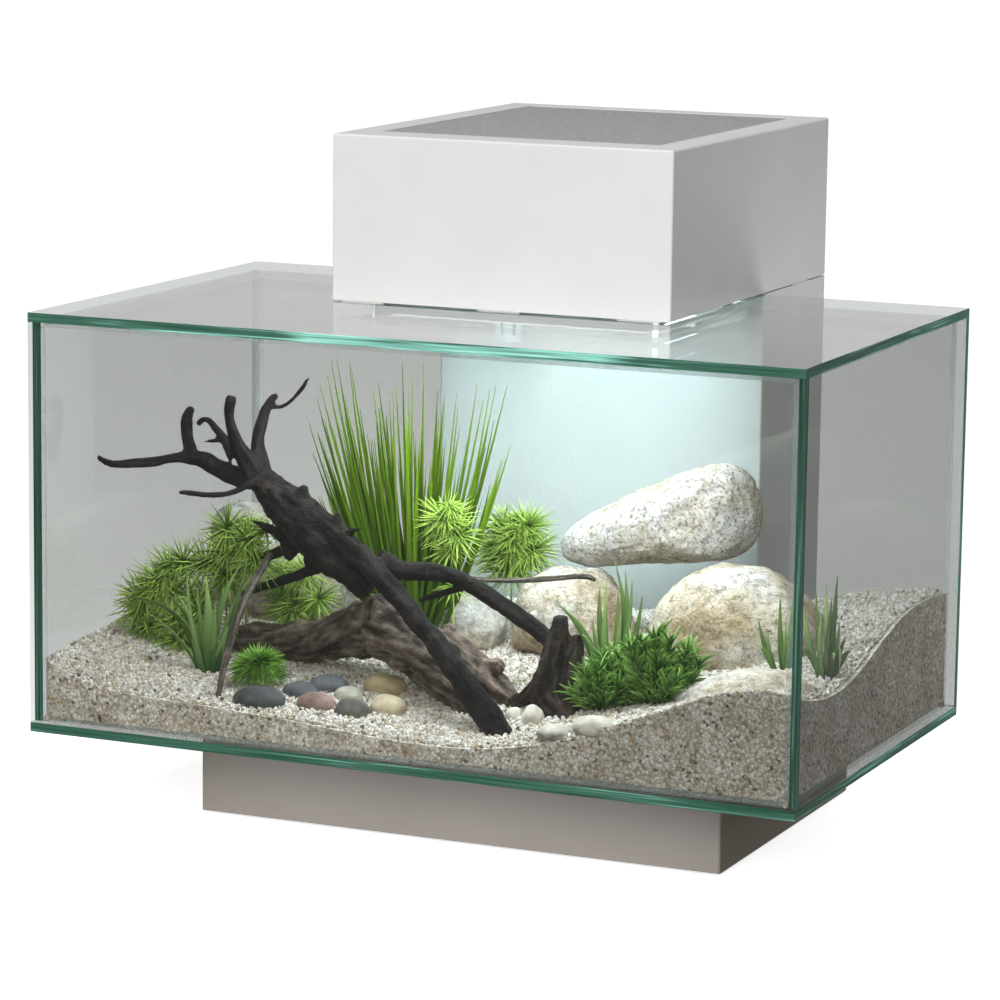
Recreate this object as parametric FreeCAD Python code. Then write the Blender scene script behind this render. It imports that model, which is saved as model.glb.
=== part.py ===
import FreeCAD, Part
import math
import os

from FreeCAD import Base, Vector

# Aquarium on a stand: a glass tank on a low plinth, with a column behind it that carries a square
# hood over the tank's opening. Row frame in millimetres: X to the right, Y to the back, Z up. The
# origin lies on the table, under the middle of the object's length and depth.

# ---------------------------------------------------------------- driving dimensions
tank_width = 430.0
tank_depth = 262.0
tank_height = 224.0
glass = 5.0

stand_height = 53.0  # table to the underside of the glass
stand_width = 300.0
stand_depth = 200.0
stand_setback = 71.5  # front of the glass to the front of the stand
stand_wall = 3.0
foot_height = 1.2
foot_radius = 11.0
foot_inset = 20.0
pad_thickness = 2.0
pad_inset = 6.0

column_width = 195.0
column_depth = 101.0
column_wall = 3.0
column_gap = 0.5  # back glass to the column's front panel

hood_reach = 141.0  # how far the hood comes over the tank
hood_height = 89.2
hood_wall = 3.0
hood_seam = 0.8
grille_border_side = 17.5
grille_border_front = 25.0
grille_border_back = 15.0
grille_thickness = 1.2
grille_ledge = 3.0
grille_sunk = 0.4
grille_pitch = 10.0
grille_bar = 3.5

opening_margin = 12.5  # side of the hood to the side of the opening
opening_depth = 125.0
opening_corner = 10.0

fit = 0.3  # clearance between pieces that are set into each other
slide_fit = 0.5
edge_round = 1.2

screw_radius = 1.5
screw_head_radius = 3.0
screw_head_height = 1.8
screw_length = 12.0
boss_radius = 4.5
boss_inset = 14.0

# ---------------------------------------------------------------- planes and centres
front = -(tank_depth + column_depth) / 2
back = front + tank_depth
rear = back + column_depth
left = -tank_width / 2
right = tank_width / 2
glass_low = stand_height
glass_high = stand_height + tank_height
floor_z = glass_low + glass
ceiling_z = glass_high - glass
inner_left, inner_right = left + glass, right - glass
inner_front, inner_back = front + glass, back - glass

stand_front = front + stand_setback
stand_back = stand_front + stand_depth
stand_top = stand_height - pad_thickness

column_front = back + column_gap
column_half = column_width / 2
opening_width = column_width - 2 * opening_margin
column_inner = column_half - column_wall

hood_front = back - hood_reach
hood_low = glass_high + hood_seam
hood_high = hood_low + hood_height
hood_inner = column_half - hood_wall


# ---------------------------------------------------------------- small tools
def block(x0, x1, y0, y1, z0, z1):
    """A box between two corners."""
    return Part.makeBox(x1 - x0, y1 - y0, z1 - z0, Vector(x0, y0, z0))


def upright(x, y, z0, z1, radius):
    """A round bar along Z."""
    return Part.makeCylinder(radius, z1 - z0, Vector(x, y, z0))


def along_x(x0, x1, y, z, radius):
    """A round bar along X."""
    return Part.makeCylinder(radius, x1 - x0, Vector(x0, y, z), Vector(1, 0, 0))


def along_y(y0, y1, x, z, radius):
    """A round bar along Y."""
    return Part.makeCylinder(radius, y1 - y0, Vector(x, y0, z), Vector(0, 1, 0))


def solids_of(shapes):
    """Every solid in a shape or a list of shapes."""
    found = []
    for shape in shapes if isinstance(shapes, list) else [shapes]:
        found.extend(shape.Solids)
    return found


def save(name, shapes):
    """Writes one node. Pieces that stay apart stay separate solids."""
    solids = solids_of(shapes)
    whole = solids[0] if len(solids) == 1 else Part.makeCompound(solids)
    whole.exportStep(os.path.join("parts", name + ".step"))
    nodes[name] = whole
    return whole


def round_upright_edges(shape, radius, xs, ys):
    """Rounds the edges along Z that stand at these X and Y places."""
    picked = []
    for edge in shape.Edges:
        box = edge.BoundBox
        if box.ZLength < 1 or box.XLength > 0.01 or box.YLength > 0.01:
            continue
        at_x = any(abs(box.XMin - x) < 0.01 for x in xs)
        at_y = any(abs(box.YMin - y) < 0.01 for y in ys)
        if at_x and at_y:
            picked.append(edge)
    return shape.makeFillet(radius, picked) if picked else shape


def prism(points, height_vector):
    """A solid pushed out of a flat outline."""
    return Part.Face(Part.makePolygon(points + [points[0]])).extrude(height_vector)


os.makedirs("parts", exist_ok=True)
nodes = {}
screws = []


def add_screw(head_point, direction):
    """One pan-head screw: its head sits on head_point, and its shank goes along direction."""
    way = Vector(*direction)
    shank = Part.makeCylinder(screw_radius, screw_length, head_point, way)
    head = Part.makeCylinder(
        screw_head_radius, screw_head_height, head_point - way * screw_head_height, way
    )
    slot_width = 0.8
    slot_depth = 0.9
    top = head_point - way * screw_head_height
    cross = block(-slot_width / 2, slot_width / 2, -2, 2, -slot_depth, slot_depth).fuse(
        block(-2, 2, -slot_width / 2, slot_width / 2, -slot_depth, slot_depth)
    )
    turn = Base.Rotation(Vector(0, 0, 1), way)
    cross.Placement = Base.Placement(top, turn)
    screws.append(head.fuse(shank).cut(cross))


# ---------------------------------------------------------------- glass tank
def tank():
    save("glass_bottom", block(left, right, front, back, glass_low, floor_z))
    save("glass_front", block(left, right, front, inner_front, floor_z, ceiling_z))
    save("glass_back", block(left, right, inner_back, back, floor_z, ceiling_z))
    save("glass_left", block(left, inner_left, inner_front, inner_back, floor_z, ceiling_z))
    save("glass_right", block(inner_right, right, inner_front, inner_back, floor_z, ceiling_z))
    top = block(left, right, front, back, ceiling_z, glass_high)
    half = opening_width / 2
    cut = block(-half, half, back - opening_depth, back + 1, ceiling_z - 1, glass_high + 1)
    cut = round_upright_edges(cut, opening_corner, [-half, half], [back - opening_depth])
    save("glass_top", top.cut(cut))


bead = 3.0


def bead_prism(corner, leg_a, leg_b, run):
    """One silicone fillet: a triangle at an inner corner, pushed along the joint."""
    return prism([corner, corner + leg_a, corner + leg_b], run)


def silicone_beads(grow=0.0):
    """The silicone fillets in the tank's inner corners. A bead stops short of the next one."""
    leg = bead + grow
    x, y, z = Vector(leg, 0, 0), Vector(0, leg, 0), Vector(0, 0, leg)
    beads = []
    low, high = floor_z + bead, ceiling_z - bead
    for cx, dx in ((inner_left, x), (inner_right, -x)):
        for cy, dy in ((inner_front, y), (inner_back, -y)):
            beads.append(bead_prism(Vector(cx, cy, low), dx, dy, Vector(0, 0, high - low)))
    span_x = Vector(inner_right - inner_left - 2 * bead, 0, 0)
    span_y = Vector(0, inner_back - inner_front - 2 * bead, 0)
    x0, y0 = inner_left + bead, inner_front + bead
    for cz, dz in ((floor_z, z), (ceiling_z, -z)):
        beads.append(bead_prism(Vector(x0, inner_front, cz), y, dz, span_x))
        beads.append(bead_prism(Vector(inner_left, y0, cz), x, dz, span_y))
        beads.append(bead_prism(Vector(inner_right, y0, cz), -x, dz, span_y))
    beads.append(bead_prism(Vector(x0, inner_back, floor_z), -y, z, span_x))
    beside = Vector(inner_right - bead - opening_width / 2, 0, 0)
    beads.append(bead_prism(Vector(x0, inner_back, ceiling_z), -y, -z, beside))
    beads.append(bead_prism(Vector(opening_width / 2, inner_back, ceiling_z), -y, -z, beside))
    return beads


# ---------------------------------------------------------------- opening trim, with the lamp's ears
trim_flange = 5.0
trim_thickness = 2.0
trim_lip = 8.0
ear_thickness = 4.0
ear_depth = 12.0
hinge_back = 7.0  # back glass's outer face to the hinge, forwards
hinge_rise = 19.0  # glass top to the hinge
hinge_y = back - hinge_back
hinge_z = glass_high + hinge_rise
pin_radius = 1.95
ear_bore = 1.98
lamp_bore = 2.0
ear_inner = opening_width / 2 - 1.0


def opening_trim():
    half = opening_width / 2 - fit
    y0 = back - opening_depth + fit
    lip = block(-half, half, y0, back, ceiling_z + glass - trim_lip, glass_high)
    inside = block(
        -half + trim_thickness, half - trim_thickness, y0 + trim_thickness, back + 1,
        glass_high - 2 * trim_lip, glass_high + 2 * trim_thickness,
    )
    flange = block(
        -half - trim_flange, half + trim_flange, y0 - trim_flange, back,
        glass_high, glass_high + trim_thickness,
    )
    corner = opening_corner
    lip = round_upright_edges(lip, corner, [-half, half], [y0])
    trim = lip.fuse(flange).cut(inside)
    for side in (-1, 1):
        inner, outer = sorted((side * ear_inner, side * (ear_inner + ear_thickness)))
        ear = block(
            inner, outer, hinge_y - ear_depth / 2, hinge_y + ear_depth / 2,
            glass_high + trim_thickness, hinge_z,
        )
        ear = ear.fuse(along_x(inner, outer, hinge_y, hinge_z, ear_depth / 2))
        trim = trim.fuse(ear.cut(along_x(inner - 1, outer + 1, hinge_y, hinge_z, ear_bore)))
    # the back glass stands under the trim's rear ends, so its lip stops in front of it
    clear = block(-half - 1, half + 1, inner_back - fit, back + 1, 0, ceiling_z + fit)
    save("opening_trim", trim.cut(clear).removeSplitter())


# ---------------------------------------------------------------- lamp
lamp_half = ear_inner - 1.0
lamp_length = 52.0
lamp_front = hinge_y - 58.0
lamp_low = hinge_z - 7.0
lamp_high = hinge_z + 3.0
lamp_wall = 2.0
board_thickness = 1.6
led_size = 5.0
led_height = 1.0
led_columns = 8
led_rows = 3
lens_thickness = 2.0
knuckle_radius = 4.0
knuckle_width = 5.0
pin_head_radius = 3.2
pin_head = 1.2


def lamp():
    back_face = lamp_front + lamp_length
    body = block(-lamp_half, lamp_half, lamp_front, back_face, lamp_low, lamp_high)
    body = round_upright_edges(body, 4.0, [-lamp_half, lamp_half], [lamp_front])
    well_x = lamp_half - lamp_wall
    y0, y1 = lamp_front + lamp_wall, back_face - lamp_wall
    body = body.cut(block(-well_x, well_x, y0, y1, lamp_low - 1, lamp_high - lamp_wall))
    fins = 12
    fin_gap = 2 * well_x / fins
    for number in range(1, fins):
        x = -well_x + number * fin_gap
        groove = block(x - 1, x + 1, y0 + 6, y1 - 6, lamp_high - 0.8, lamp_high + 1)
        body = body.cut(groove)
    for side in (-1, 1):
        inner, outer = sorted((side * (lamp_half - knuckle_width), side * lamp_half))
        arm = block(inner, outer, back_face - 1, hinge_y, hinge_z - knuckle_radius, lamp_high)
        arm = arm.fuse(along_x(inner, outer, hinge_y, hinge_z, knuckle_radius))
        body = body.fuse(arm)
    for side in (-1, 1):
        inner, outer = sorted((side * (lamp_half - knuckle_width), side * lamp_half))
        body = body.cut(along_x(inner - 1, outer + 1, hinge_y, hinge_z, lamp_bore))
    save("lamp_housing", body.removeSplitter())

    board_x = well_x - fit
    board_high = lamp_high - lamp_wall
    board = block(-board_x, board_x, y0 + fit, y1 - fit, board_high - board_thickness, board_high)
    save("lamp_board", board)
    leds = []
    for column in range(led_columns):
        for row in range(led_rows):
            x = -board_x + 2 * board_x * (column + 0.5) / led_columns
            y = y0 + (y1 - y0) * (row + 0.5) / led_rows
            top = board_high - board_thickness
            half = led_size / 2
            leds.append(block(x - half, x + half, y - half, y + half, top - led_height, top))
    save("lamp_leds", leds)
    lens = block(-board_x, board_x, y0 + fit, y1 - fit, lamp_low, lamp_low + lens_thickness)
    save("lamp_lens", lens)
    pins = []
    for side in (-1, 1):
        reach = lamp_half - knuckle_width
        inner, outer = sorted((side * reach, side * (ear_inner + ear_thickness)))
        pin = along_x(inner, outer, hinge_y, hinge_z, pin_radius)
        face = side * (ear_inner + ear_thickness)
        a, b = sorted((face, face + side * pin_head))
        pins.append(pin.fuse(along_x(a, b, hinge_y, hinge_z, pin_head_radius)))
    save("lamp_pins", pins)


# ---------------------------------------------------------------- hood
def hood():
    outer = block(-column_half, column_half, hood_front, rear, hood_low, hood_high)
    sharp = [
        edge for edge in outer.Edges
        if edge.BoundBox.ZMax > hood_high - 0.01 or edge.BoundBox.ZLength > 1
    ]
    outer = outer.makeFillet(edge_round, sharp)
    inner = block(
        -hood_inner, hood_inner, hood_front + hood_wall, rear - hood_wall,
        hood_low - 1, hood_high - hood_wall,
    )
    wx = column_half - grille_border_side
    wy0, wy1 = hood_front + grille_border_front, rear - grille_border_back
    seat = hood_high - grille_sunk - grille_thickness
    window = block(-wx, wx, wy0, wy1, seat, hood_high + 1)
    through = block(
        -wx + grille_ledge, wx - grille_ledge, wy0 + grille_ledge, wy1 - grille_ledge,
        hood_high - 2 * hood_wall, hood_high + 1,
    )
    shell = outer.cut(inner).cut(window).cut(through)
    save("hood_shell", shell)

    gx, gy0, gy1 = wx - fit, wy0 + fit, wy1 - fit
    columns = int((2 * gx - grille_bar) // grille_pitch)
    rows = int((gy1 - gy0 - grille_bar) // grille_pitch)
    margin_x = (2 * gx - columns * grille_pitch + grille_bar) / 2
    margin_y = (gy1 - gy0 - rows * grille_pitch + grille_bar) / 2
    hole = grille_pitch - grille_bar
    outline = Part.makePolygon([
        Vector(-gx, gy0, seat), Vector(gx, gy0, seat), Vector(gx, gy1, seat),
        Vector(-gx, gy1, seat), Vector(-gx, gy0, seat),
    ])
    wires = [outline]
    for column in range(columns):
        for row in range(rows):
            x = -gx + margin_x + column * grille_pitch
            y = gy0 + margin_y + row * grille_pitch
            wires.append(Part.makePolygon([
                Vector(x, y, seat), Vector(x, y + hole, seat), Vector(x + hole, y + hole, seat),
                Vector(x + hole, y, seat), Vector(x, y, seat),
            ]))
    save("hood_grille", Part.Face(wires).extrude(Vector(0, 0, grille_thickness)))

    bumper_length = 24.0
    bumper_y = hood_front + 0.4
    bumpers = []
    for x in (-column_half + 18, 0, column_half - 18):
        bumpers.append(block(
            x - bumper_length / 2, x + bumper_length / 2, bumper_y, bumper_y + hood_wall - 0.8,
            glass_high, hood_low,
        ))
    for side in (-1, 1):
        x0, x1 = sorted((side * (column_half - 0.4), side * (column_inner + 0.4)))
        bumpers.append(block(
            x0, x1, rear - 30 - bumper_length, rear - 30, glass_high, hood_low,
        ))
    save("hood_bumpers", bumpers)


# ---------------------------------------------------------------- column behind the tank
cover_sunk = 3.5
cover_thickness = 3.0
ledge_width = 8.0
ledge_depth = 4.0
notch_half = 64.0
notch_drop = 6.0
tab_height = 9.0
tab_thickness = 2.6
cover_face = rear - cover_sunk
cover_inside = cover_face - cover_thickness
column_floor = stand_top + column_wall

switch_x = 60.0
switch_z = glass_high - 34.0
switch_half_x, switch_half_z = 5.0, 8.0
bezel_border = 3.0
bezel_thickness = 1.5
switch_travel = 1.8
switch_proud = 1.3
switch_depth = 12.0

outlet_z = column_floor + 24.0
outlet_bore = 5.0
outlet_neck = 8.0
outlet_flange = 11.0
outlet_flange_thickness = 1.5

plug_radius = 5.0
plug_rise = 0.3
plug_z = glass_low + 131.0


def cover_screw_places():
    places = []
    for side in (-1, 1):
        for z in (column_floor + 22, glass_high - 22):
            places.append((side * (column_inner - ledge_width / 2), z))
    return places


def column():
    outer = block(-column_half, column_half, column_front, rear, stand_top, glass_high)
    outer = round_upright_edges(
        outer, edge_round, [-column_half, column_half], [column_front, rear]
    )
    inner = block(
        -column_inner, column_inner, column_front + column_wall, rear + 1,
        column_floor, glass_high + 1,
    )
    notch = block(
        -notch_half, notch_half, column_front - 1, column_front + column_wall + 1,
        glass_high - notch_drop, glass_high + 1,
    )
    shell = outer.cut(inner).cut(notch)
    ledge_back = cover_inside - 0.2
    for side in (-1, 1):
        x0, x1 = sorted((side * column_inner, side * (column_inner - ledge_width)))
        shell = shell.fuse(block(
            x0, x1, ledge_back - ledge_depth, ledge_back, column_floor, glass_high - 14,
        ))
        t0, t1 = sorted((side * column_inner, side * (column_inner - tab_thickness)))
        root = block(
            t0, t1, column_front + 14, cover_inside - 14, glass_high - 12, glass_high,
        )
        t0, t1 = sorted((
            side * (hood_inner - slide_fit), side * (column_inner - tab_thickness)
        ))
        tip = block(
            t0, t1, column_front + 14, cover_inside - 14, glass_high, glass_high + tab_height,
        )
        shell = shell.fuse(root).fuse(tip)
    for x, z in cover_screw_places():
        boss = along_y(ledge_back - screw_length, ledge_back, x, z, boss_radius - 0.5)
        shell = shell.fuse(boss.common(inner))
    for x, z in cover_screw_places():
        shell = shell.cut(along_y(ledge_back - screw_length - 1, rear, x, z, screw_radius + 0.05))
    for x in column_screw_places():
        shell = shell.fuse(upright(x, column_screw_y(), column_floor, column_floor + 10, boss_radius))
        shell = shell.cut(upright(
            x, column_screw_y(), stand_top - 1, column_floor + 9, screw_radius + 0.05,
        ))
    save("column_shell", shell.removeSplitter())

    cover = block(
        -column_inner + fit, column_inner - fit, cover_inside, cover_face,
        column_floor + fit, glass_high - 0.2,
    )
    slot_count = 7
    slot_width = 70.0
    slot_height = 3.0
    slot_pitch = 8.0
    for number in range(slot_count):
        z = glass_low + 60 + number * slot_pitch
        cover = cover.cut(block(
            -slot_width / 2, slot_width / 2, cover_inside - 1, cover_face + 1, z, z + slot_height,
        ))
    for x, z in cover_screw_places():
        cover = cover.cut(along_y(cover_inside - 1, cover_face + 1, x, z, screw_radius + 0.3))
        add_screw(Vector(x, cover_face, z), (0, -1, 0))
    hx, hz = switch_half_x + 0.4, switch_half_z + 0.4
    hole = block(
        switch_x - hx, switch_x + hx, cover_inside - 1, cover_face + 1, switch_z - hz, switch_z + hz,
    )
    cover = cover.cut(hole)
    cover = cover.cut(along_y(cover_inside - 1, cover_face + 1, 0, outlet_z, outlet_neck + 0.2))
    save("column_back_cover", cover)

    ring = block(
        switch_x - hx - bezel_border, switch_x + hx + bezel_border,
        cover_face, cover_face + bezel_thickness,
        switch_z - hz - bezel_border, switch_z + hz + bezel_border,
    )
    save("switch_bezel", ring.cut(hole.copy().translated(Vector(0, 2, 0))))
    case = block(
        switch_x - hx - 2, switch_x + hx + 2, cover_inside - switch_depth, cover_inside,
        switch_z - hz - 2, switch_z + hz + 2,
    )
    well = block(
        switch_x - hx, switch_x + hx, cover_inside - switch_depth + 2, cover_inside + 1,
        switch_z - hz, switch_z + hz,
    )
    save("switch_body", case.cut(well))
    well_floor = cover_inside - switch_depth + 2
    button = block(
        switch_x - switch_half_x, switch_x + switch_half_x,
        well_floor + switch_travel + 0.4, cover_face + bezel_thickness + switch_proud,
        switch_z - switch_half_z, switch_z + switch_half_z,
    )
    face_y = cover_face + bezel_thickness + switch_proud
    rim = [edge for edge in button.Edges if edge.BoundBox.YMin > face_y - 0.01]
    save("switch_button", button.makeFillet(0.8, rim))

    neck = along_y(cover_inside - 0.1, cover_face + 0.1, 0, outlet_z, outlet_neck)
    inside = along_y(
        cover_inside - outlet_flange_thickness - 0.1, cover_inside - 0.1, 0, outlet_z, outlet_flange,
    )
    outside = along_y(
        cover_face + 0.1, cover_face + 0.1 + outlet_flange_thickness, 0, outlet_z, outlet_flange,
    )
    grommet = neck.fuse(inside).fuse(outside)
    save("cord_grommet", grommet.cut(along_y(cover_inside - 5, rear, 0, outlet_z, outlet_bore)))


def column_screw_places():
    return (-column_half + 24, column_half - 24)


def column_screw_y():
    return (stand_back + rear) / 2 + 8


# ---------------------------------------------------------------- stand
def stand_outline(inset, z0, z1):
    """The stand's T-shaped block, drawn in by an inset: the plinth and its tongue under the column."""
    half = stand_width / 2 - inset
    plinth = block(-half, half, stand_front + inset, stand_back - inset, z0, z1)
    tongue = block(
        -column_half + inset, column_half - inset, stand_front + stand_depth / 2, rear - inset, z0, z1,
    )
    return plinth.fuse(tongue).removeSplitter()


def stand_screw_places():
    x = stand_width / 2 - boss_inset
    tx = column_half - boss_inset
    return [
        (-x, stand_front + boss_inset), (x, stand_front + boss_inset),
        (-x, stand_back - boss_inset), (x, stand_back - boss_inset),
        (-tx, rear - boss_inset), (tx, rear - boss_inset),
    ]


def stand():
    outer = stand_outline(0, foot_height, stand_top)
    half = stand_width / 2
    outer = round_upright_edges(
        outer, edge_round, [-half, half, -column_half, column_half], [stand_front, stand_back, rear]
    )
    inner = stand_outline(stand_wall, foot_height - 1, stand_top - stand_wall)
    shell = outer.cut(inner)
    plate_low, plate_high = foot_height + 0.6, foot_height + 3.6
    for x, y in stand_screw_places():
        shell = shell.fuse(upright(x, y, plate_high, stand_top - stand_wall + 0.5, boss_radius))
    for x, y in stand_screw_places():
        shell = shell.cut(upright(
            x, y, plate_high - 1, plate_high + screw_length, screw_radius + 0.05,
        ))
    for x in column_screw_places():
        shell = shell.cut(upright(
            x, column_screw_y(), stand_top - stand_wall - 1, stand_top + 1, screw_radius + 0.3,
        ))
        add_screw(Vector(x, column_screw_y(), stand_top - stand_wall), (0, 0, 1))
    save("stand_shell", shell.removeSplitter())

    plate = stand_outline(stand_wall + fit, plate_low, plate_high)
    head_room = screw_head_height + 0.2
    for x, y in stand_screw_places():
        plate = plate.cut(upright(x, y, plate_low - 1, plate_high + 1, screw_radius + 0.3))
        plate = plate.cut(upright(
            x, y, plate_low - 1, plate_low + head_room, screw_head_radius + 0.4,
        ))
        add_screw(Vector(x, y, plate_low + head_room), (0, 0, 1))
    save("stand_bottom_plate", plate)

    feet = []
    for x, y in foot_places():
        foot = Part.makeCone(foot_radius - 1.5, foot_radius, 1.5, Vector(x, y, 0))
        feet.append(foot.fuse(upright(x, y, 1.5, plate_low, foot_radius)).removeSplitter())
    save("stand_feet", feet)
    px = stand_width / 2 - pad_inset
    pad_back = min(stand_back, back) - pad_inset
    save("stand_pad", block(-px, px, stand_front + pad_inset, pad_back, stand_top, stand_height))


def foot_places():
    x = stand_width / 2 - foot_inset - 16
    tx = column_half - foot_inset - 16
    return [
        (-x, stand_front + foot_inset), (x, stand_front + foot_inset),
        (-x, stand_back - foot_inset), (x, stand_back - foot_inset),
        (-tx, rear - foot_inset), (tx, rear - foot_inset),
    ]


# ---------------------------------------------------------------- filter, hung on the back glass
filter_half = 71.0
filter_wall = 2.0
filter_drop = 135.0
filter_rise = 12.0
filter_front = column_front + column_wall + 2.5
filter_depth = 74.0
filter_back = filter_front + filter_depth
filter_low = glass_high - filter_drop
filter_high = glass_high + filter_rise
spout_x0, spout_x1 = 4.0, 60.0
spout_reach = 18.0
spout_low = ceiling_z + fit
hook_drop = 15.0
tube_radius = 9.0
tube_wall = 1.6
tube_x = -49.0
tube_in_tank = inner_back - slide_fit - tube_radius
tube_in_filter = filter_front + filter_wall + 16.0
duct_low, duct_high = ceiling_z + 1.0, glass_high + 9.0
duct_half = 9.0
intake_end = glass_high - 17.0
strainer_length = 16.0
motor_radius = 20.0
motor_height = 24.0
well_radius = 12.0
rotor_radius = 9.0
rotor_bore = 1.6
shaft_radius = 1.5
basket_x0, basket_x1 = -30.0, 64.0
basket_wall = 1.5
lid_thickness = 2.5
lid_overhang = 1.0


def filter_case():
    outer = block(-filter_half, filter_half, filter_front, filter_back, filter_low, filter_high)
    inner = block(
        -filter_half + filter_wall, filter_half - filter_wall,
        filter_front + filter_wall, filter_back - filter_wall,
        filter_low + filter_wall, filter_high + 1,
    )
    lip = inner_back - fit
    spout = block(spout_x0, spout_x1, back - spout_reach, filter_front + 1, spout_low, filter_high - 2)
    hook = block(
        spout_x0, spout_x1, lip - filter_wall, lip, spout_low - hook_drop, spout_low + 1,
    )
    channel = block(
        spout_x0 + filter_wall, spout_x1 - filter_wall, back - spout_reach - 1,
        filter_front + filter_wall + 1, spout_low + filter_wall, filter_high + 1,
    )
    duct_hole = block(
        tube_x - duct_half - fit, tube_x + duct_half + fit,
        filter_front - 1, filter_front + filter_wall + 1, duct_low - fit, filter_high + 1,
    )
    well = upright(tube_x, tube_in_filter, filter_low - 1, filter_low + filter_wall + 1, well_radius)
    case = outer.cut(inner).fuse(spout).fuse(hook).cut(channel).cut(duct_hole).cut(well)
    save("filter_case", case.removeSplitter())

    lid = block(
        -filter_half - lid_overhang, filter_half + lid_overhang,
        filter_front - lid_overhang, filter_back + lid_overhang,
        filter_high, filter_high + lid_thickness,
    )
    inside = filter_wall + fit
    rim = block(
        -filter_half + inside, filter_half - inside, filter_front + inside, filter_back - inside,
        filter_high - 1.5, filter_high,
    )
    hollow = block(
        -filter_half + 2 * inside, filter_half - 2 * inside,
        filter_front + 2 * inside, filter_back - 2 * inside, filter_high - 2, filter_high,
    )
    tab = block(-14, 14, filter_back - 12, filter_back - 9, filter_high + lid_thickness,
                filter_high + lid_thickness + 8)
    save("filter_lid", lid.fuse(rim.cut(hollow)).fuse(tab).removeSplitter())


def filter_inside():
    y0 = filter_front + filter_wall + 1.0
    y1 = filter_back - filter_wall - 1.0
    low = filter_low + filter_wall + fit
    high = filter_high - 24.0
    basket = block(basket_x0, basket_x1, y0, y1, low, high)
    basket = basket.cut(block(
        basket_x0 + basket_wall, basket_x1 - basket_wall, y0 + basket_wall, y1 - basket_wall,
        low + basket_wall, high + 1,
    ))
    slots = 8
    pitch = (basket_x1 - basket_x0 - 8) / slots
    for number in range(slots):
        x = basket_x0 + 6 + number * pitch
        basket = basket.cut(block(x, x + pitch / 2, y0 + 6, y1 - 6, low - 1, low + basket_wall + 1))
    save("filter_basket", basket)

    inset = basket_wall + fit
    mx0, mx1 = basket_x0 + inset, basket_x1 - inset
    my0, my1 = y0 + inset, y1 - inset
    layer = low + basket_wall + fit
    foam_height, carbon_height = 38.0, 26.0
    save("filter_foam", block(mx0, mx1, my0, my1, layer, layer + foam_height))
    layer += foam_height + fit
    carbon = block(mx0, mx1, my0, my1, layer, layer + carbon_height)
    save("filter_carbon", carbon.makeFillet(6.0, carbon.Edges))
    layer += carbon_height + fit
    rings = []
    ring_radius, ring_bore, ring_length = 6.5, 3.0, 13.0
    ring_pitch = 2 * ring_radius + 0.6
    across = int((mx1 - mx0) // ring_pitch)
    deep = int((my1 - my0) // (ring_length + 0.6))
    for column in range(across):
        for row in range(deep):
            x = mx0 + ring_radius + column * ring_pitch
            y = my0 + row * (ring_length + 0.6)
            ring = along_y(y, y + ring_length, x, layer + ring_radius, ring_radius)
            rings.append(ring.cut(along_y(y - 1, y + ring_length + 1, x, layer + ring_radius, ring_bore)))
    save("filter_rings", rings)


def filter_pump():
    low = filter_low - motor_height
    motor = upright(tube_x, tube_in_filter, low, filter_low, motor_radius)
    motor = motor.cut(upright(tube_x, tube_in_filter, low + 4, filter_low + 1, well_radius))
    motor = motor.cut(upright(tube_x, tube_in_filter, low + 1, low + 5, shaft_radius + 0.03))
    save("pump_motor", motor)
    shaft = upright(tube_x, tube_in_filter, low + 1, filter_low + 9, shaft_radius)
    save("pump_shaft", shaft)
    magnet = upright(tube_x, tube_in_filter, low + 4.4, filter_low - 1, rotor_radius)
    hub = upright(tube_x, tube_in_filter, filter_low - 1, filter_low + 8, 3.5)
    rotor = magnet.fuse(hub)
    for quarter in range(4):
        blade = block(2, rotor_radius + 2, -0.6, 0.6, filter_low - 1, filter_low + 8)
        blade.rotate(Vector(0, 0, 0), Vector(0, 0, 1), 90 * quarter)
        rotor = rotor.fuse(blade.translated(Vector(tube_x, tube_in_filter, 0)))
    rotor = rotor.cut(upright(tube_x, tube_in_filter, low, filter_high, rotor_bore))
    save("pump_impeller", rotor.removeSplitter())

    inner = tube_radius - tube_wall
    duct = block(
        tube_x - duct_half, tube_x + duct_half,
        tube_in_tank - tube_radius, tube_in_filter + tube_radius, duct_low, duct_high,
    )
    passage = block(
        tube_x - duct_half + tube_wall, tube_x + duct_half - tube_wall,
        tube_in_tank - inner, tube_in_filter + inner, duct_low + tube_wall, duct_high - tube_wall,
    )
    outlet = filter_low + filter_wall + 12.0
    duct = duct.fuse(upright(tube_x, tube_in_tank, intake_end, duct_high, tube_radius))
    duct = duct.fuse(upright(tube_x, tube_in_filter, outlet, duct_high, tube_radius))
    duct = duct.cut(passage)
    duct = duct.cut(upright(tube_x, tube_in_tank, intake_end - 1, duct_high - tube_wall, inner))
    duct = duct.cut(upright(tube_x, tube_in_filter, outlet - 1, duct_high - tube_wall, inner))
    save("intake_tube", duct.removeSplitter())

    end = intake_end - strainer_length
    strainer = upright(tube_x, tube_in_tank, end, intake_end, tube_radius)
    strainer = strainer.cut(upright(tube_x, tube_in_tank, end + 2, intake_end + 1, inner))
    for eighth in range(4):
        slot = block(-tube_radius - 1, tube_radius + 1, -1, 1, end + 3.5, intake_end - 3)
        slot.rotate(Vector(0, 0, 0), Vector(0, 0, 1), 45 * eighth)
        strainer = strainer.cut(slot.translated(Vector(tube_x, tube_in_tank, 0)))
    save("intake_strainer", strainer)


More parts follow.
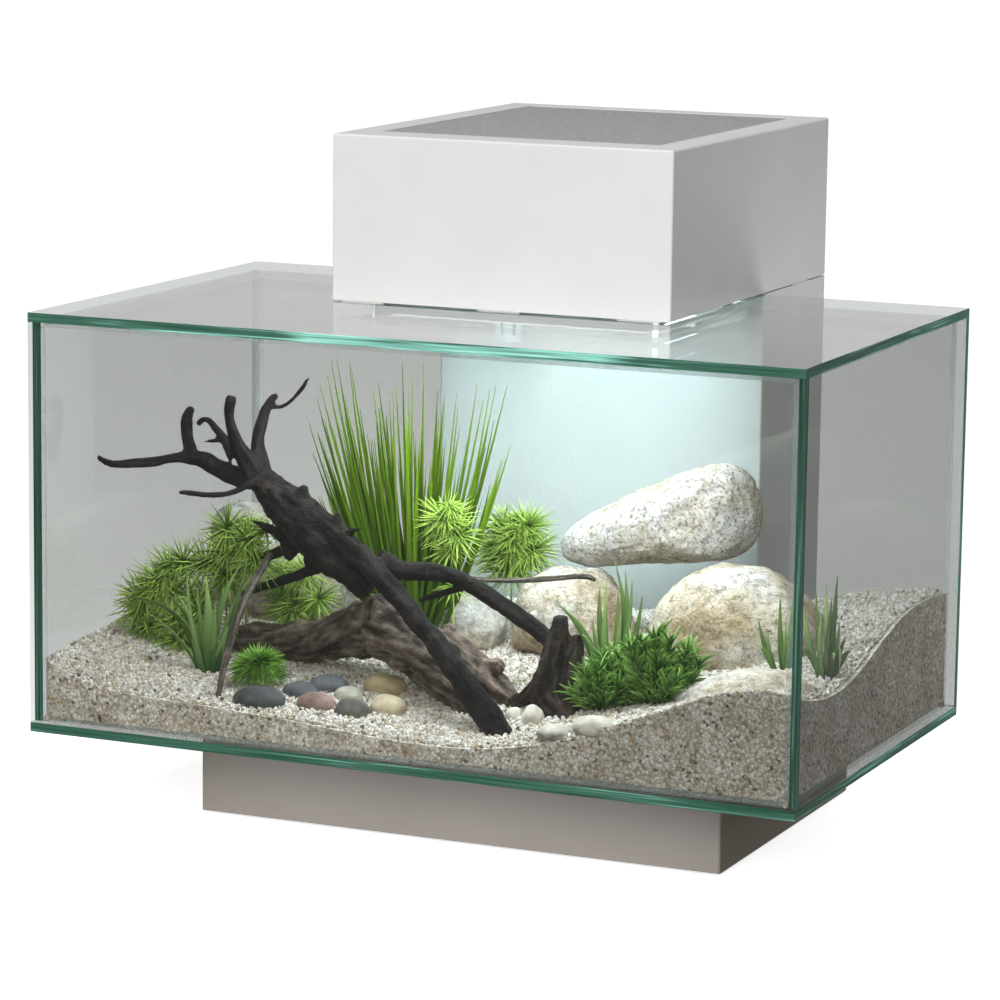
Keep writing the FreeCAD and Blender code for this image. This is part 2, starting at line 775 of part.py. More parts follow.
# ---------------------------------------------------------------- the scape inside the tank
# Places in the scape are given for a tank of this size: x from its left end, y from its front, z from
# its underside, all outside the glass. The scape is drawn to a smaller scale for a smaller tank, and
# stays in the middle of a wider one.
scape_width, scape_depth, scape_height = 430.0, 262.0, 224.0
scape_scale = min(tank_width / scape_width, tank_depth / scape_depth, tank_height / scape_height)
settle_gap = 0.3
gravel_heights = [  # height above the tank's underside, from left to right, front row first
    [42, 23, 18, 16, 41, 61],
    [47, 31, 28, 29, 41, 49],
    [50, 38, 36, 38, 49, 70],
    [52, 43, 42, 43, 57, 67],
]
placed = []


def spot(x, y, z):
    """A place in the scape, as a point of the row frame."""
    across = (x - scape_width / 2) * scape_scale
    return Vector(across, front + y * scape_scale, glass_low + z * scape_scale)


def gravel_height(x, y):
    """The height of the gravel at a place in the scape."""
    columns, rows = len(gravel_heights[0]) - 1, len(gravel_heights) - 1
    across = min(max(x / scape_width, 0), 0.999) * columns
    along = min(max(y / scape_depth, 0), 0.999) * rows
    i, j = int(across), int(along)
    u, v = across - i, along - j
    near = gravel_heights[j][i] * (1 - u) + gravel_heights[j][i + 1] * u
    far = gravel_heights[j + 1][i] * (1 - u) + gravel_heights[j + 1][i + 1] * u
    return near * (1 - v) + far * v


def skin(rings, start_cap, end_cap):
    """A closed solid over rings of points. Each end closes in one point."""
    faces = []

    def facet(a, b, c):
        faces.append(Part.Face(Part.makePolygon([a, b, c, a])))

    sides = len(rings[0])
    for number in range(sides):
        after = (number + 1) % sides
        facet(start_cap, rings[0][after], rings[0][number])
        facet(end_cap, rings[-1][number], rings[-1][after])
        for low, high in zip(rings, rings[1:]):
            facet(low[number], low[after], high[after])
            facet(low[number], high[after], high[number])
    solid = Part.makeSolid(Part.makeShell(faces))
    if solid.Volume < 0:
        solid.reverse()
    return solid


def limb(points, widths, sides=7, flatness=1.0, grow=0.0):
    """A tapering rod with facets along a path. Widths are half widths; flatness thins it."""
    path = [spot(*point) for point in points]
    rings = []
    for number, place in enumerate(path):
        ahead = path[min(number + 1, len(path) - 1)] - path[max(number - 1, 0)]
        along = Vector(ahead).normalize()
        across = along.cross(Vector(0.1, 1, 0.15)).normalize()
        deep = along.cross(across)
        half = widths[number] * scape_scale + grow
        thin = widths[number] * flatness * scape_scale + grow
        ring = []
        for side in range(sides):
            angle = 2 * math.pi * side / sides
            ring.append(place + across * (half * math.cos(angle)) + deep * (thin * math.sin(angle)))
        rings.append(ring)
    first = Vector(path[0] - path[1]).normalize() * (0.3 * widths[0] * scape_scale + grow)
    last = Vector(path[-1] - path[-2]).normalize() * (0.3 * widths[-1] * scape_scale + grow)
    return skin(rings, path[0] + first, path[-1] + last)


def rock(place, halves, tilt=0.0, seed=0.0, bumps=0.08, grow=0.0):
    """A rounded stone with facets. It is tilted about Y, its right end up for a positive tilt."""
    centre = spot(*place)
    lean = Base.Rotation(Vector(0, 1, 0), -tilt)

    def point(polar, azimuth):
        swell = 1 + bumps * math.sin(3 * azimuth + seed) * math.sin(2 * polar + seed)
        swell += bumps * 0.6 * math.cos(5 * azimuth + 2 * seed) * math.sin(polar)
        reach = [half * scape_scale * swell + grow for half in halves]
        offset = Vector(
            reach[0] * math.sin(polar) * math.cos(azimuth),
            reach[1] * math.sin(polar) * math.sin(azimuth),
            reach[2] * math.cos(polar),
        )
        return centre + lean.multVec(offset)

    bands, sides = 7, 12
    rings = []
    for band in range(1, bands):
        polar = math.pi * (1 - band / bands)
        rings.append([point(polar, 2 * math.pi * side / sides) for side in range(sides)])
    return skin(rings, point(math.pi, 0), point(0, 0))


def fan(x, y, tips, width, grow=0.0):
    """A tuft of grass: a crown in the gravel, and flat blades that spread from it to their tips."""
    ground = gravel_height(x, y)
    crown = limb([(x, y, ground - 3), (x, y, ground + 2.5)], [4.5, 3.0], 6, 1.0, grow)
    tuft = crown
    for number, (tip_x, tip_y, tip_z) in enumerate(tips):
        foot_x = x + 2.5 * math.cos(2.4 * number)
        foot_y = y + 2.5 * math.sin(2.4 * number)
        middle = (
            foot_x + 0.42 * (tip_x - foot_x), foot_y + 0.42 * (tip_y - foot_y),
            ground + 0.6 * (tip_z - ground),
        )
        path = [(foot_x, foot_y, ground), middle, (tip_x, tip_y, tip_z)]
        tuft = tuft.fuse(limb(path, [0.5 * width, width, 0.25 * width], 4, 0.35, grow))
    return tuft


def frond(x, y, tip, width, grow=0.0):
    """One feathery stem: whorls of needles one above the other, drawn as a stack of cones."""
    ground = gravel_height(x, y) - 4
    rise = tip[2] - ground
    whorls = max(3, int(rise / (1.1 * width)))
    points, widths = [(x, y, ground)], [1.2]
    for number in range(whorls):
        for share, half in ((0.25, 0.45 * width), (0.75, width)):
            t = (number + share) / whorls
            bend = t * t
            points.append((x + bend * (tip[0] - x), y + bend * (tip[1] - y), ground + t * rise))
            widths.append(half * (1 - 0.45 * t))
    points.append(tip)
    widths.append(0.8)
    return limb(points, widths, 7, 1.0, grow)


def joined(shapes):
    """All shapes as one."""
    whole = shapes[0]
    for shape in shapes[1:]:
        whole = whole.fuse(shape)
    return whole


def settle(name, draw):
    """Puts pieces of the scape in place. Each is cut back to a small gap where it meets an earlier one."""
    room = block(
        inner_left + bead, inner_right - bead, inner_front + bead, inner_back - bead,
        floor_z + settle_gap, ceiling_z - bead,
    )
    kept = []
    for piece, grown in zip(draw(0.0), draw(settle_gap)):
        piece = piece.common(room)
        for other in placed:
            if piece.BoundBox.intersect(other.BoundBox):
                piece = piece.cut(other)
        kept.append(max(piece.Solids, key=lambda solid: solid.Volume))
        placed.append(grown)
    save(name, kept)


def stones():
    settle("stone_right", lambda grow: [rock((344, 148, 61), (51, 35, 34), 6, 1.0, 0.07, grow)])
    settle("stone_middle", lambda grow: [rock((242, 166, 57), (34, 28, 25), 0, 2.0, 0.07, grow)])
    settle("stone_top", lambda grow: [rock((283, 186, 109), (61, 32, 25), 20, 3.1, 0.06, grow)])
    settle("stone_back", lambda grow: [rock((181, 160, 47), (23, 19, 19), 0, 4.2, 0.07, grow)])
    settle("stone_left", lambda grow: [rock((70, 168, 66), (44, 29, 31), -20, 5.0, 0.07, grow)])
    settle("stone_front", lambda grow: [rock((382, 60, 43), (41, 25, 18), 4, 6.3, 0.06, grow)])


def driftwood():
    def stump(grow):
        main = [(278, 62, 77), (278, 62, 62), (277, 62, 53), (276, 61, 43), (276, 60, 33), (281, 56, 23)]
        second = [(287, 64, 68), (286, 63, 53), (286, 61, 42), (286, 58, 28)]
        return [joined([
            limb(main, [3.7, 6.8, 9.5, 12.1, 13.7, 9.5], 9, 0.9, grow),
            limb(second, [2.2, 5.3, 6.9, 6.9], 7, 0.9, grow),
        ])]

    def log(grow):
        arm = [(67, 98, 36), (79, 97, 40), (94, 95, 40), (114, 92, 42), (134, 88, 46), (152, 84, 54),
               (170, 79, 58), (187, 73, 51), (203, 66, 44), (218, 60, 36), (236, 53, 25)]
        ridge = [(189, 84, 52), (206, 82, 50), (220, 78, 43), (236, 72, 36), (251, 66, 29)]
        return [joined([
            limb(arm, [4.4, 8.9, 9.9, 10.5, 11.5, 14.7, 16.2, 14.5, 12.9, 10.7, 4.5], 9, 0.9, grow),
            limb(ridge, [9.7, 10.8, 9.1, 8, 4.8], 7, 0.9, grow),
        ])]

    def trunk(grow):
        branches = [
            ([(91, 86, 133), (100, 82, 127), (113, 78, 118), (128, 74, 108), (144, 70, 98), (158, 68, 89),
              (167, 68, 80)], [6.5, 9.2, 11.4, 12.4, 12.4, 10.7, 7.5]),
            ([(119, 76, 121), (141, 69, 111), (158, 63, 102), (190, 53, 81), (217, 44, 59), (243, 34, 35),
              (254, 30, 26), (268, 26, 14)], [7, 7.5, 6.4, 5.6, 5.8, 7.1, 7.4, 4.7]),
            ([(94, 86, 130), (80, 87, 130), (67, 88, 133), (57, 90, 137), (47, 91, 138), (40, 82, 138),
              (29, 58, 138), (20, 45, 140)], [6.5, 6, 5.5, 4.9, 3.8, 2.6, 2.4, 1.8]),
            ([(49, 91, 138), (45, 92, 151), (44, 92, 157), (48, 92, 165)], [3.8, 3.3, 3.2, 2.2]),
            ([(76, 90, 141), (70, 92, 147), (60, 94, 156), (56, 95, 159), (50, 95, 156)],
             [4.9, 3.3, 2, 1.8, 1.8]),
            ([(92, 84, 130), (87, 82, 139), (83, 78, 149), (80, 73, 165), (83, 71, 176)],
             [7.1, 6, 4.1, 2.8, 2.9]),
            ([(94, 86, 132), (91, 88, 141), (88, 91, 149), (88, 100, 164), (90, 107, 172)],
             [6, 4.6, 3.9, 2.7, 2.1]),
            ([(89, 102, 166), (93, 106, 166), (100, 110, 171), (105, 113, 178), (108, 115, 183)],
             [1.8, 1.5, 1.3, 1.4, 0.8]),
            ([(100, 80, 133), (93, 70, 130), (84, 61, 125), (72, 50, 126), (65, 45, 127)],
             [3.2, 2.2, 1.8, 1.8, 1.2]),
            ([(118, 78, 98), (106, 80, 103), (91, 83, 107)], [5.4, 3.3, 1.2]),
            ([(115, 80, 97), (102, 84, 91), (92, 88, 86), (82, 92, 80)], [3.8, 3.5, 3, 1.6]),
            ([(139, 76, 91), (116, 82, 80), (92, 90, 71), (72, 97, 62)], [4.3, 3, 2.4, 1.2]),
            ([(172, 66, 97), (191, 78, 90), (210, 88, 86), (232, 90, 75), (256, 85, 63), (272, 76, 51)],
             [5.9, 4.8, 4.4, 4.5, 4.6, 2.7]),
        ]
        return [joined([limb(points, widths, 7, 0.9, grow) for points, widths in branches])]

    def twigs(grow):
        across = [(208, 91, 86), (221, 101, 84), (236, 107, 84), (251, 110, 86), (275, 117, 87)]
        upright_twig = [(102, 18, 20), (101, 24, 32), (100, 38, 53), (101, 52, 72), (104, 68, 87), (104, 76, 92)]
        return [
            limb(across, [1.3, 1.5, 1.6, 1.6, 1.3], 6, 1.0, grow),
            limb(upright_twig, [1.4, 1.6, 2.0, 2.0, 2.1, 1.8], 6, 1.0, grow),
        ]

    settle("driftwood_stump", stump)
    settle("driftwood_log", log)
    settle("driftwood_trunk", trunk)
    settle("driftwood_twigs", twigs)


def pebbles():
    beds = [  # x, y, half length, half depth, half height
        (125, 22, 14, 10, 7.5), (138, 45, 11, 8, 6), (147, 60, 10, 7, 6), (153, 32, 10, 7, 6.5),
        (163, 50, 7, 6, 5.5), (175, 30, 9.5, 8, 7.5), (175, 70, 12, 9, 7), (191, 43, 10, 8, 7),
        (258, 50, 5, 5, 5), (271, 42, 6, 6, 8), (297, 13, 10, 8, 5), (318, 13, 10, 8, 6),
    ]

    def draw(grow):
        shapes = []
        for number, (x, y, *halves) in enumerate(beds):
            place = (x, y, gravel_height(x, y) + 0.25 * halves[2])
            shapes.append(rock(place, halves, 8 * math.sin(number), number, 0.05, grow))
        return shapes

    settle("pebbles", draw)


def spread(x0, x1, y, low, high, count):
    """Tips for a fan of grass: side by side in an arc, highest in the middle."""
    tips = []
    for number in range(count):
        t = number / (count - 1)
        lift = 1 - abs(2 * t - 1) ** 1.6
        sway = 9 * math.sin(2.2 * number)
        dip = 0.16 * (high - low) * (number % 3)
        tips.append((x0 + t * (x1 - x0), y + sway, low + (high - low) * lift - dip))
    return tips


def plants():
    settle("plant_tall_grass", lambda grow: [
        fan(156, 146, spread(99, 206, 146, 136, 190, 21), 1.7, grow),
    ])
    settle("plant_fern_left", lambda grow: [
        frond(x, y, tip, 10, grow) for x, y, tip in (
            (40, 84, (28, 80, 76)), (56, 88, (52, 84, 94)), (70, 100, (74, 100, 108)),
        )
    ])
    settle("plant_fern_middle", lambda grow: [frond(100, 119, (100, 113, 70), 10, grow)])
    settle("plant_fern_back", lambda grow: [
        frond(163, 194, (160, 190, 108), 10, grow), frond(193, 194, (200, 191, 110), 12, grow),
    ])
    settle("plant_grass_left", lambda grow: [
        fan(77, 57, spread(45, 102, 56, 60, 92, 9), 2.4, grow),
    ])
    settle("plant_moss_ball", lambda grow: [rock((112, 46, 38), (13, 12, 13), 0, 2.5, 0.03, grow)])
    settle("plant_grass_middle", lambda grow: [
        fan(293, 98, spread(264, 308, 97, 66, 101, 9), 2.8, grow),
    ])
    settle("plant_low_bush", lambda grow: [
        frond(x, y, tip, 9, grow) for x, y, tip in (
            (302, 58, (300, 54, 62)), (318, 60, (320, 56, 62)), (336, 60, (338, 56, 73)),
        )
    ])
    settle("plant_grass_right", lambda grow: [
        fan(383, 110, spread(371, 391, 106, 70, 96, 5), 2.4, grow),
        fan(408, 97, spread(400, 417, 96, 72, 104, 5), 2.2, grow),
    ])


def gravel():
    columns, rows = len(gravel_heights[0]), len(gravel_heights)
    grid = []
    for i in range(columns):
        line = []
        for j in range(rows):
            x = left + i * tank_width / (columns - 1)
            y = front + j * tank_depth / (rows - 1)
            line.append(Vector(x, y, glass_low + gravel_heights[j][i] * scape_scale))
        grid.append(line)
    surface = Part.BSplineSurface()
    surface.interpolate(grid)
    mass = surface.toShape().extrude(Vector(0, 0, -tank_height))
    room = block(
        inner_left + settle_gap, inner_right - settle_gap,
        inner_front + settle_gap, inner_back - settle_gap, floor_z, ceiling_z,
    )
    bed = room.common(mass)
    for bead_shape in silicone_beads(settle_gap):
        bed = bed.cut(bead_shape)
    for other in placed:
        bed = bed.cut(other)
    save("gravel_bed", max(bed.Solids, key=lambda solid: solid.Volume))


tank()
save("silicone_beads", silicone_beads())
opening_trim()
lamp()
hood()
column()
stand()
filter_case()
filter_inside()
filter_pump()
save("screws", screws)
stones()
driftwood()
pebbles()
plants()
gravel()
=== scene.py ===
"""A glass aquarium on a low plinth, with a column behind it that carries a square hood, and a planted
scape inside. The looks are built here around the fixed frame of the part."""

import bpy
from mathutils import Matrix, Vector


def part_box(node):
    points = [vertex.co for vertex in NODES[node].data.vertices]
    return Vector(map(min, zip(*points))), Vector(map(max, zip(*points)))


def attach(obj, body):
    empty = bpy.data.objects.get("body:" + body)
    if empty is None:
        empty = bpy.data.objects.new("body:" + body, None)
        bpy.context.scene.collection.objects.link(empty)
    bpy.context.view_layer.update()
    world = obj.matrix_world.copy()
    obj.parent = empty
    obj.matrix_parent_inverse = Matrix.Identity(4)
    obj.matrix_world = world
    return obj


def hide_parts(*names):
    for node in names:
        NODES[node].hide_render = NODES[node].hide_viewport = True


bl_info = {
    "name": "Aquarium on a stand",
    "version": (1, 0, 0),
    "blender": (4, 5, 0),
    "location": "View3D > Sidebar > Aquarium",
    "description": "Builds the looks of a planted glass aquarium with a hood",
    "category": "Object",
}

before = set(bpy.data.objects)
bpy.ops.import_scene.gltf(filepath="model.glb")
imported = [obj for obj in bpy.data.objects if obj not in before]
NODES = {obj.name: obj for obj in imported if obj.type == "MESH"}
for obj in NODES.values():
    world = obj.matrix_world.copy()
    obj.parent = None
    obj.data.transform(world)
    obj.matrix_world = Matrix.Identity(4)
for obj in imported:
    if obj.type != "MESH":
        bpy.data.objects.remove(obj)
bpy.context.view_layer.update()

import math
import random

import bpy
from mathutils import Euler, Matrix, Vector, noise
from mathutils.bvhtree import BVHTree
from mathutils.kdtree import KDTree

MM = 0.001
ROOT = "tank_and_stand"
TANK_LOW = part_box("glass_bottom")[0]
TANK_MIDDLE = 0.5 * (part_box("glass_bottom")[0].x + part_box("glass_bottom")[1].x)
INNER_LOW = Vector((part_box("glass_left")[1].x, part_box("glass_front")[1].y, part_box("glass_bottom")[1].z))
INNER_HIGH = Vector((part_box("glass_right")[0].x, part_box("glass_back")[0].y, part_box("glass_top")[0].z))
SCAPE_WIDTH = 430.0  # places in the scape are in mm from the tank's left end, front and underside


def linear(hex_colour, alpha=1.0):
    """An sRGB hex colour as Blender's linear colour."""
    parts = [int(hex_colour[i:i + 2], 16) / 255 for i in (1, 3, 5)]
    return (*[c / 12.92 if c <= 0.04045 else ((c + 0.055) / 1.055) ** 2.4 for c in parts], alpha)


def spot(x, y, z):
    """A place in the scape as a point of the frame."""
    return Vector((TANK_MIDDLE + (x - SCAPE_WIDTH / 2) * MM, TANK_LOW.y + y * MM, TANK_LOW.z + z * MM))


# ---------------------------------------------------------------- settings
def colour(name, description, hex_colour):
    return bpy.props.FloatVectorProperty(
        name=name, description=description, subtype="COLOR", size=4, min=0, max=1,
        default=linear(hex_colour),
    )


def length(name, description, millimetres):
    return bpy.props.FloatProperty(
        name=name, description=description, default=millimetres * MM, unit="LENGTH", min=0, precision=5,
    )


class AquariumColours(bpy.types.PropertyGroup):
    """The colours a user would change."""

    hood: colour("Hood", "Moulded plastic of the hood and the column", "#EDEDEC")
    # painted shade: the plinth's tone is darker than its own pale plastic, standing in for the shade under
    # the tank
    stand: colour("Stand", "Satin plastic of the plinth", "#8C8274")
    grille: colour("Grille", "Painted wire of the hood's grille", "#A9A9AB")
    # partly the glass's own faint tint, partly painted shade: darker than real float glass, so what is seen
    # through the panes reads as shaded
    glass: colour("Glass", "What one face of a pane lets through", "#E9EAE9")
    edge_deep: colour("Glass edge, deep", "Cut edge of the glass where it is darkest", "#1F4A38")
    # painted light: the bright tone of the painted light streaks in the glass edges
    edge_painted_light: colour("Glass edge, bright", "Cut edge of the glass where it carries light", "#9FE6D6")
    # partly grain tone, partly painted light and shade: wood is the tone of the grain's ridges, wood_dark the
    # tone of its grooves
    wood: colour("Driftwood", "Soaked bog wood in the light", "#2C2520")
    wood_dark: colour("Driftwood, dark", "Soaked bog wood in its hollows", "#0A0908")
    bark: colour("Log", "Brown heartwood of the log", "#8A7A6C")
    leaf: colour("Leaf", "Grass blades near their tips", "#6E9016")
    leaf_deep: colour("Leaf, deep", "Grass blades near their feet", "#2A4A16")
    fern: colour("Fern", "Needle leaves at their tips", "#CDEC6C")
    fern_deep: colour("Fern, deep", "Needle leaves near the stem", "#6E9E30")
    lamp: colour("Lamp", "Light of the lamp", "#D8F7FF")


class AquariumSizes(bpy.types.PropertyGroup):
    """The sizes and counts a user would change."""

    grain: length("Gravel grain", "Mean width of a grain", 2.2)
    grain_pitch: length("Grain spacing", "Distance between neighbouring grains", 1.85)
    mesh_pitch: length("Grille pitch", "Distance between the grille's wires", 2.4)
    mesh_wire: length("Grille wire", "Width of a wire of the grille", 0.75)
    wood_voxel: length("Wood detail", "Smallest step in the driftwood's surface", 1.1)
    blade_count: bpy.props.IntProperty(
        name="Blades", description="Blades in the tall grass", default=150, min=5, max=300
    )


def colours():
    return bpy.context.scene.aquarium_colours


def sizes():
    return bpy.context.scene.aquarium_sizes


# ---------------------------------------------------------------- modelling tools
def choose(*objects):
    """Selects these objects and nothing else. The first is active."""
    if bpy.context.mode != "OBJECT":
        bpy.ops.object.mode_set(mode="OBJECT")
    bpy.ops.object.select_all(action="DESELECT")
    for item in objects:
        item.select_set(True)
    bpy.context.view_layer.objects.active = objects[0]


def apply_modifiers(piece):
    choose(piece)
    for modifier in list(piece.modifiers):
        bpy.ops.object.modifier_apply(modifier=modifier.name)


def add_modifier(piece, kind, **settings):
    modifier = piece.modifiers.new(kind.lower(), kind)
    for name, value in settings.items():
        setattr(modifier, name, value)
    return modifier


def settle(piece, name, material, body=ROOT, nodes=(), smooth=True):
    """Finishes a piece: its place goes into its mesh, and it rides on a body of the frame."""
    choose(piece)
    bpy.ops.object.transform_apply(location=True, rotation=True, scale=True)
    piece.name = name
    piece.data.name = name
    piece.data.materials.clear()
    piece.data.materials.append(material)
    if smooth:
        bpy.ops.object.shade_smooth()
    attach(piece, body)
    if nodes:
        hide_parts(*nodes)
    return piece


def mesh_object(name, points, faces, **floats):
    """A new object from points and faces, with one number per point in each named attribute."""
    mesh = bpy.data.meshes.new(name)
    mesh.from_pydata(points, [], faces)
    for attribute, values in floats.items():
        mesh.attributes.new(attribute, "FLOAT", "POINT").data.foreach_set("value", values)
    mesh.update()
    piece = bpy.data.objects.new(name, mesh)
    bpy.context.scene.collection.objects.link(piece)
    return piece


def paint(node, material):
    """Gives a piece of the frame its finish."""
    data = NODES[node].data
    data.materials.clear()
    data.materials.append(material)
    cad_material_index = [0] * len(data.polygons)
    data.polygons.foreach_set("material_index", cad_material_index)


# ---------------------------------------------------------------- materials
def new_material(name):
    """An empty material and its node tree."""
    material = bpy.data.materials.new(name)
    material.use_nodes = True
    material.node_tree.nodes.clear()
    return material, material.node_tree


def add(tree, kind, sockets=None, **settings):
    """Adds a node. Settings are its own values; sockets give a value or a link to each input."""
    node = tree.nodes.new("ShaderNode" + kind)
    for name, value in settings.items():
        setattr(node, name, value)
    for socket, value in (sockets or {}).items():
        if isinstance(value, bpy.types.NodeSocket):
            tree.links.new(value, node.inputs[socket])
        else:
            node.inputs[socket].default_value = value
    return node


def ramp(tree, factor, stops, interpolation="LINEAR"):
    """A colour ramp: stops are pairs of a place and a linear colour."""
    node = add(tree, "ValToRGB", {"Fac": factor})
    band = node.color_ramp
    band.interpolation = interpolation
    while len(band.elements) < len(stops):
        band.elements.new(0.5)
    for element, (place, tint) in zip(band.elements, stops):
        element.position = place
        element.color = tint
    return node.outputs["Color"]


def principled(tree, base, roughness, bump=None, bump_depth=0.2 * MM, **more):
    """The surface and the output. Base and bump may be links."""
    sockets = {"Base Color": base, "Roughness": roughness, **more}
    if bump is not None:
        relief = add(tree, "Bump", {"Height": bump, "Distance": bump_depth, "Strength": 1.0})
        sockets["Normal"] = relief.outputs["Normal"]
    surface = add(tree, "BsdfPrincipled", sockets)
    add(tree, "OutputMaterial", {"Surface": surface.outputs[0]})
    return surface


def object_noise(tree, feature, detail=3.0, roughness=0.55, stretch=(1, 1, 1), output="Fac"):
    """Noise on Object coordinates whose blotches are about as wide as feature, in mm."""
    place = add(tree, "TexCoord").outputs["Object"]
    place = add(tree, "Mapping", {"Vector": place, "Scale": stretch}).outputs[0]
    return add(tree, "TexNoise", {
        "Vector": place, "Scale": 1 / (feature * MM), "Detail": detail, "Roughness": roughness,
    }).outputs[output]


def blend_colours(tree, factor, first, second, mode="MIX"):
    node = add(tree, "Mix", {0: factor}, data_type="RGBA", blend_type=mode)
    for index, value in ((6, first), (7, second)):
        if isinstance(value, bpy.types.NodeSocket):
            tree.links.new(value, node.inputs[index])
        else:
            node.inputs[index].default_value = value
    return node.outputs[2]


def moulded_abs(name, tint, roughness, speck=0.012):
    """ABS, injection moulded with a satin gloss: an even tone with the faintest orange peel."""
    material, tree = new_material(name)
    tone = object_noise(tree, 60, 2)
    shade = tuple(c * (1 - 4 * speck) for c in tint[:3]) + (1,)
    base = ramp(tree, tone, [(0.3, shade), (0.7, tuple(tint))])
    peel = object_noise(tree, 0.9, 2)
    principled(tree, base, roughness, peel, 0.01 * MM, **{"IOR": 1.53})
    return material


def float_glass(name, axis, lit=0.0):
    """Soda-lime float glass, cut and polished: near clear through its faces, green in its edges, with painted
    light streaks and a faint painted glow along the edges.
    """
    material, tree = new_material(name)
    coordinates = add(tree, "TexCoord")
    parts = add(tree, "SeparateXYZ", {"Vector": coordinates.outputs["Normal"]})
    size = add(tree, "Math", {0: parts.outputs[axis]}, operation="ABSOLUTE").outputs[0]
    is_face = add(tree, "Math", {0: size, 1: 0.5}, operation="GREATER_THAN").outputs[0]

    # painted shade: the tint is darker than real float glass, so what is seen through the pane reads as
    # shaded
    clear = add(tree, "BsdfTransparent", {"Color": tuple(colours().glass)})
    gloss = add(tree, "BsdfGlossy", {"Color": (1, 1, 1, 1), "Roughness": 0.0})
    slant = add(tree, "LayerWeight", {"Blend": 0.5}).outputs["Facing"]
    rim = add(tree, "Math", {0: slant, 1: 5.0}, operation="POWER").outputs[0]
    mirror = add(tree, "Math", {0: rim, 1: 0.96, 2: 0.04}, operation="MULTIPLY_ADD").outputs[0]
    face = add(tree, "MixShader", {0: mirror, 1: clear.outputs[0], 2: gloss.outputs[0]})

    # painted light: bright streaks are painted along each edge over the glass's own green. Within about 80 mm
    # of x = -28 mm the edge is painted brighter still, by the amount lit
    flat = axis == "Z"
    painted_light_streaks = object_noise(tree, 1.7, 2, 0.6, (0.02, 0.02, 1) if flat else (1, 1, 0.015))
    place = add(tree, "SeparateXYZ", {"Vector": coordinates.outputs["Object"]})
    away = add(tree, "Math", {0: place.outputs["X"], 1: -28 * MM}, operation="ADD").outputs[0]
    away = add(tree, "Math", {0: away}, operation="ABSOLUTE").outputs[0]
    near = add(tree, "MapRange", {
        "Value": away, "From Min": 0.08, "From Max": 0.1, "To Min": lit, "To Max": 0.1 * lit,
    }).outputs[0]
    painted_edge_light = add(tree, "Math", {0: painted_light_streaks, 1: near}, operation="ADD").outputs[0]
    tint = ramp(tree, painted_edge_light, [
        (0.3, tuple(colours().edge_deep)), (0.58, linear("#46705F")),
        (0.8, tuple(colours().edge_painted_light)), (0.95, linear("#E9FFFA")),
    ])
    # painted light: the edge glows faintly (emission 0.14) in its painted tones
    edge = add(tree, "BsdfPrincipled", {
        "Base Color": tint, "Roughness": 0.08, "IOR": 1.5, "Emission Color": tint,
        "Emission Strength": 0.14,
    })
    # an edge seen from inside the pane, and one bonded to another pane, hardly shows
    bonded = 0.0 if flat else add(tree, "Math", {
        0: add(tree, "Math", {0: parts.outputs["Z"]}, operation="ABSOLUTE").outputs[0], 1: 0.5,
    }, operation="GREATER_THAN").outputs[0]
    behind = add(tree, "NewGeometry").outputs["Backfacing"]
    hidden = add(tree, "Math", {0: behind, 1: bonded}, operation="MAXIMUM").outputs[0]
    faint = add(tree, "BsdfTransparent", {"Color": linear("#DCE2DF")})
    rims = add(tree, "MixShader", {0: hidden, 1: edge.outputs[0], 2: faint.outputs[0]})
    whole = add(tree, "MixShader", {0: is_face, 1: rims.outputs[0], 2: face.outputs[0]})
    add(tree, "OutputMaterial", {"Surface": whole.outputs[0]})
    return material


def clear_silicone():
    """Cured silicone sealant: a clouded, nearly clear bead."""
    material, tree = new_material("clear_silicone")
    tone = object_noise(tree, 4, 2)
    base = ramp(tree, tone, [(0.3, linear("#B9CFCB")), (0.7, linear("#E4F2EF"))])
    surface = add(tree, "BsdfPrincipled", {
        "Base Color": base, "Roughness": 0.3, "IOR": 1.41, "Alpha": 0.22,
    })
    add(tree, "OutputMaterial", {"Surface": surface.outputs[0]})
    return material


def plain_finish(name, low, high, roughness, feature=3.0, depth=0.02, metallic=0.0):
    """A finish that is even but for fine mottling: low and high are its darkest and lightest tones."""
    material, tree = new_material(name)
    tone = object_noise(tree, feature, 4)
    base = ramp(tree, tone, [(0.3, linear(low)), (0.7, linear(high))])
    grain = object_noise(tree, feature / 4, 3)
    principled(tree, base, roughness, grain, depth * MM, **{"Metallic": metallic})
    return material


def painted_wire():
    """Steel wire cloth, powder coated grey: matte, with a fine grit."""
    material, tree = new_material("powder_coated_wire")
    tone = object_noise(tree, 1.5, 2)
    tint = tuple(colours().grille)
    dark = tuple(c * 0.7 for c in tint[:3]) + (1,)
    principled(tree, ramp(tree, tone, [(0.3, dark), (0.7, tint)]), 0.5, tone, 0.03 * MM)
    return material


def lamp_lens():
    """Frosted acrylic over the diodes: it glows evenly, a little brighter under each diode."""
    material, tree = new_material("frosted_acrylic_lit")
    place = add(tree, "TexCoord").outputs["Object"]
    cells = add(tree, "TexVoronoi", {"Vector": place, "Scale": 1 / (18 * MM), "Randomness": 0.0})
    glow = ramp(tree, cells.outputs["Distance"], [(0.1, (1, 1, 1, 1)), (0.7, (0.75, 0.75, 0.75, 1))])
    tint = blend_colours(tree, 1.0, glow, tuple(colours().lamp), "MULTIPLY")
    principled(tree, linear("#EAF6F6"), 0.4, **{
        "Emission Color": tint, "Emission Strength": 17.0, "IOR": 1.49,
    })
    return material


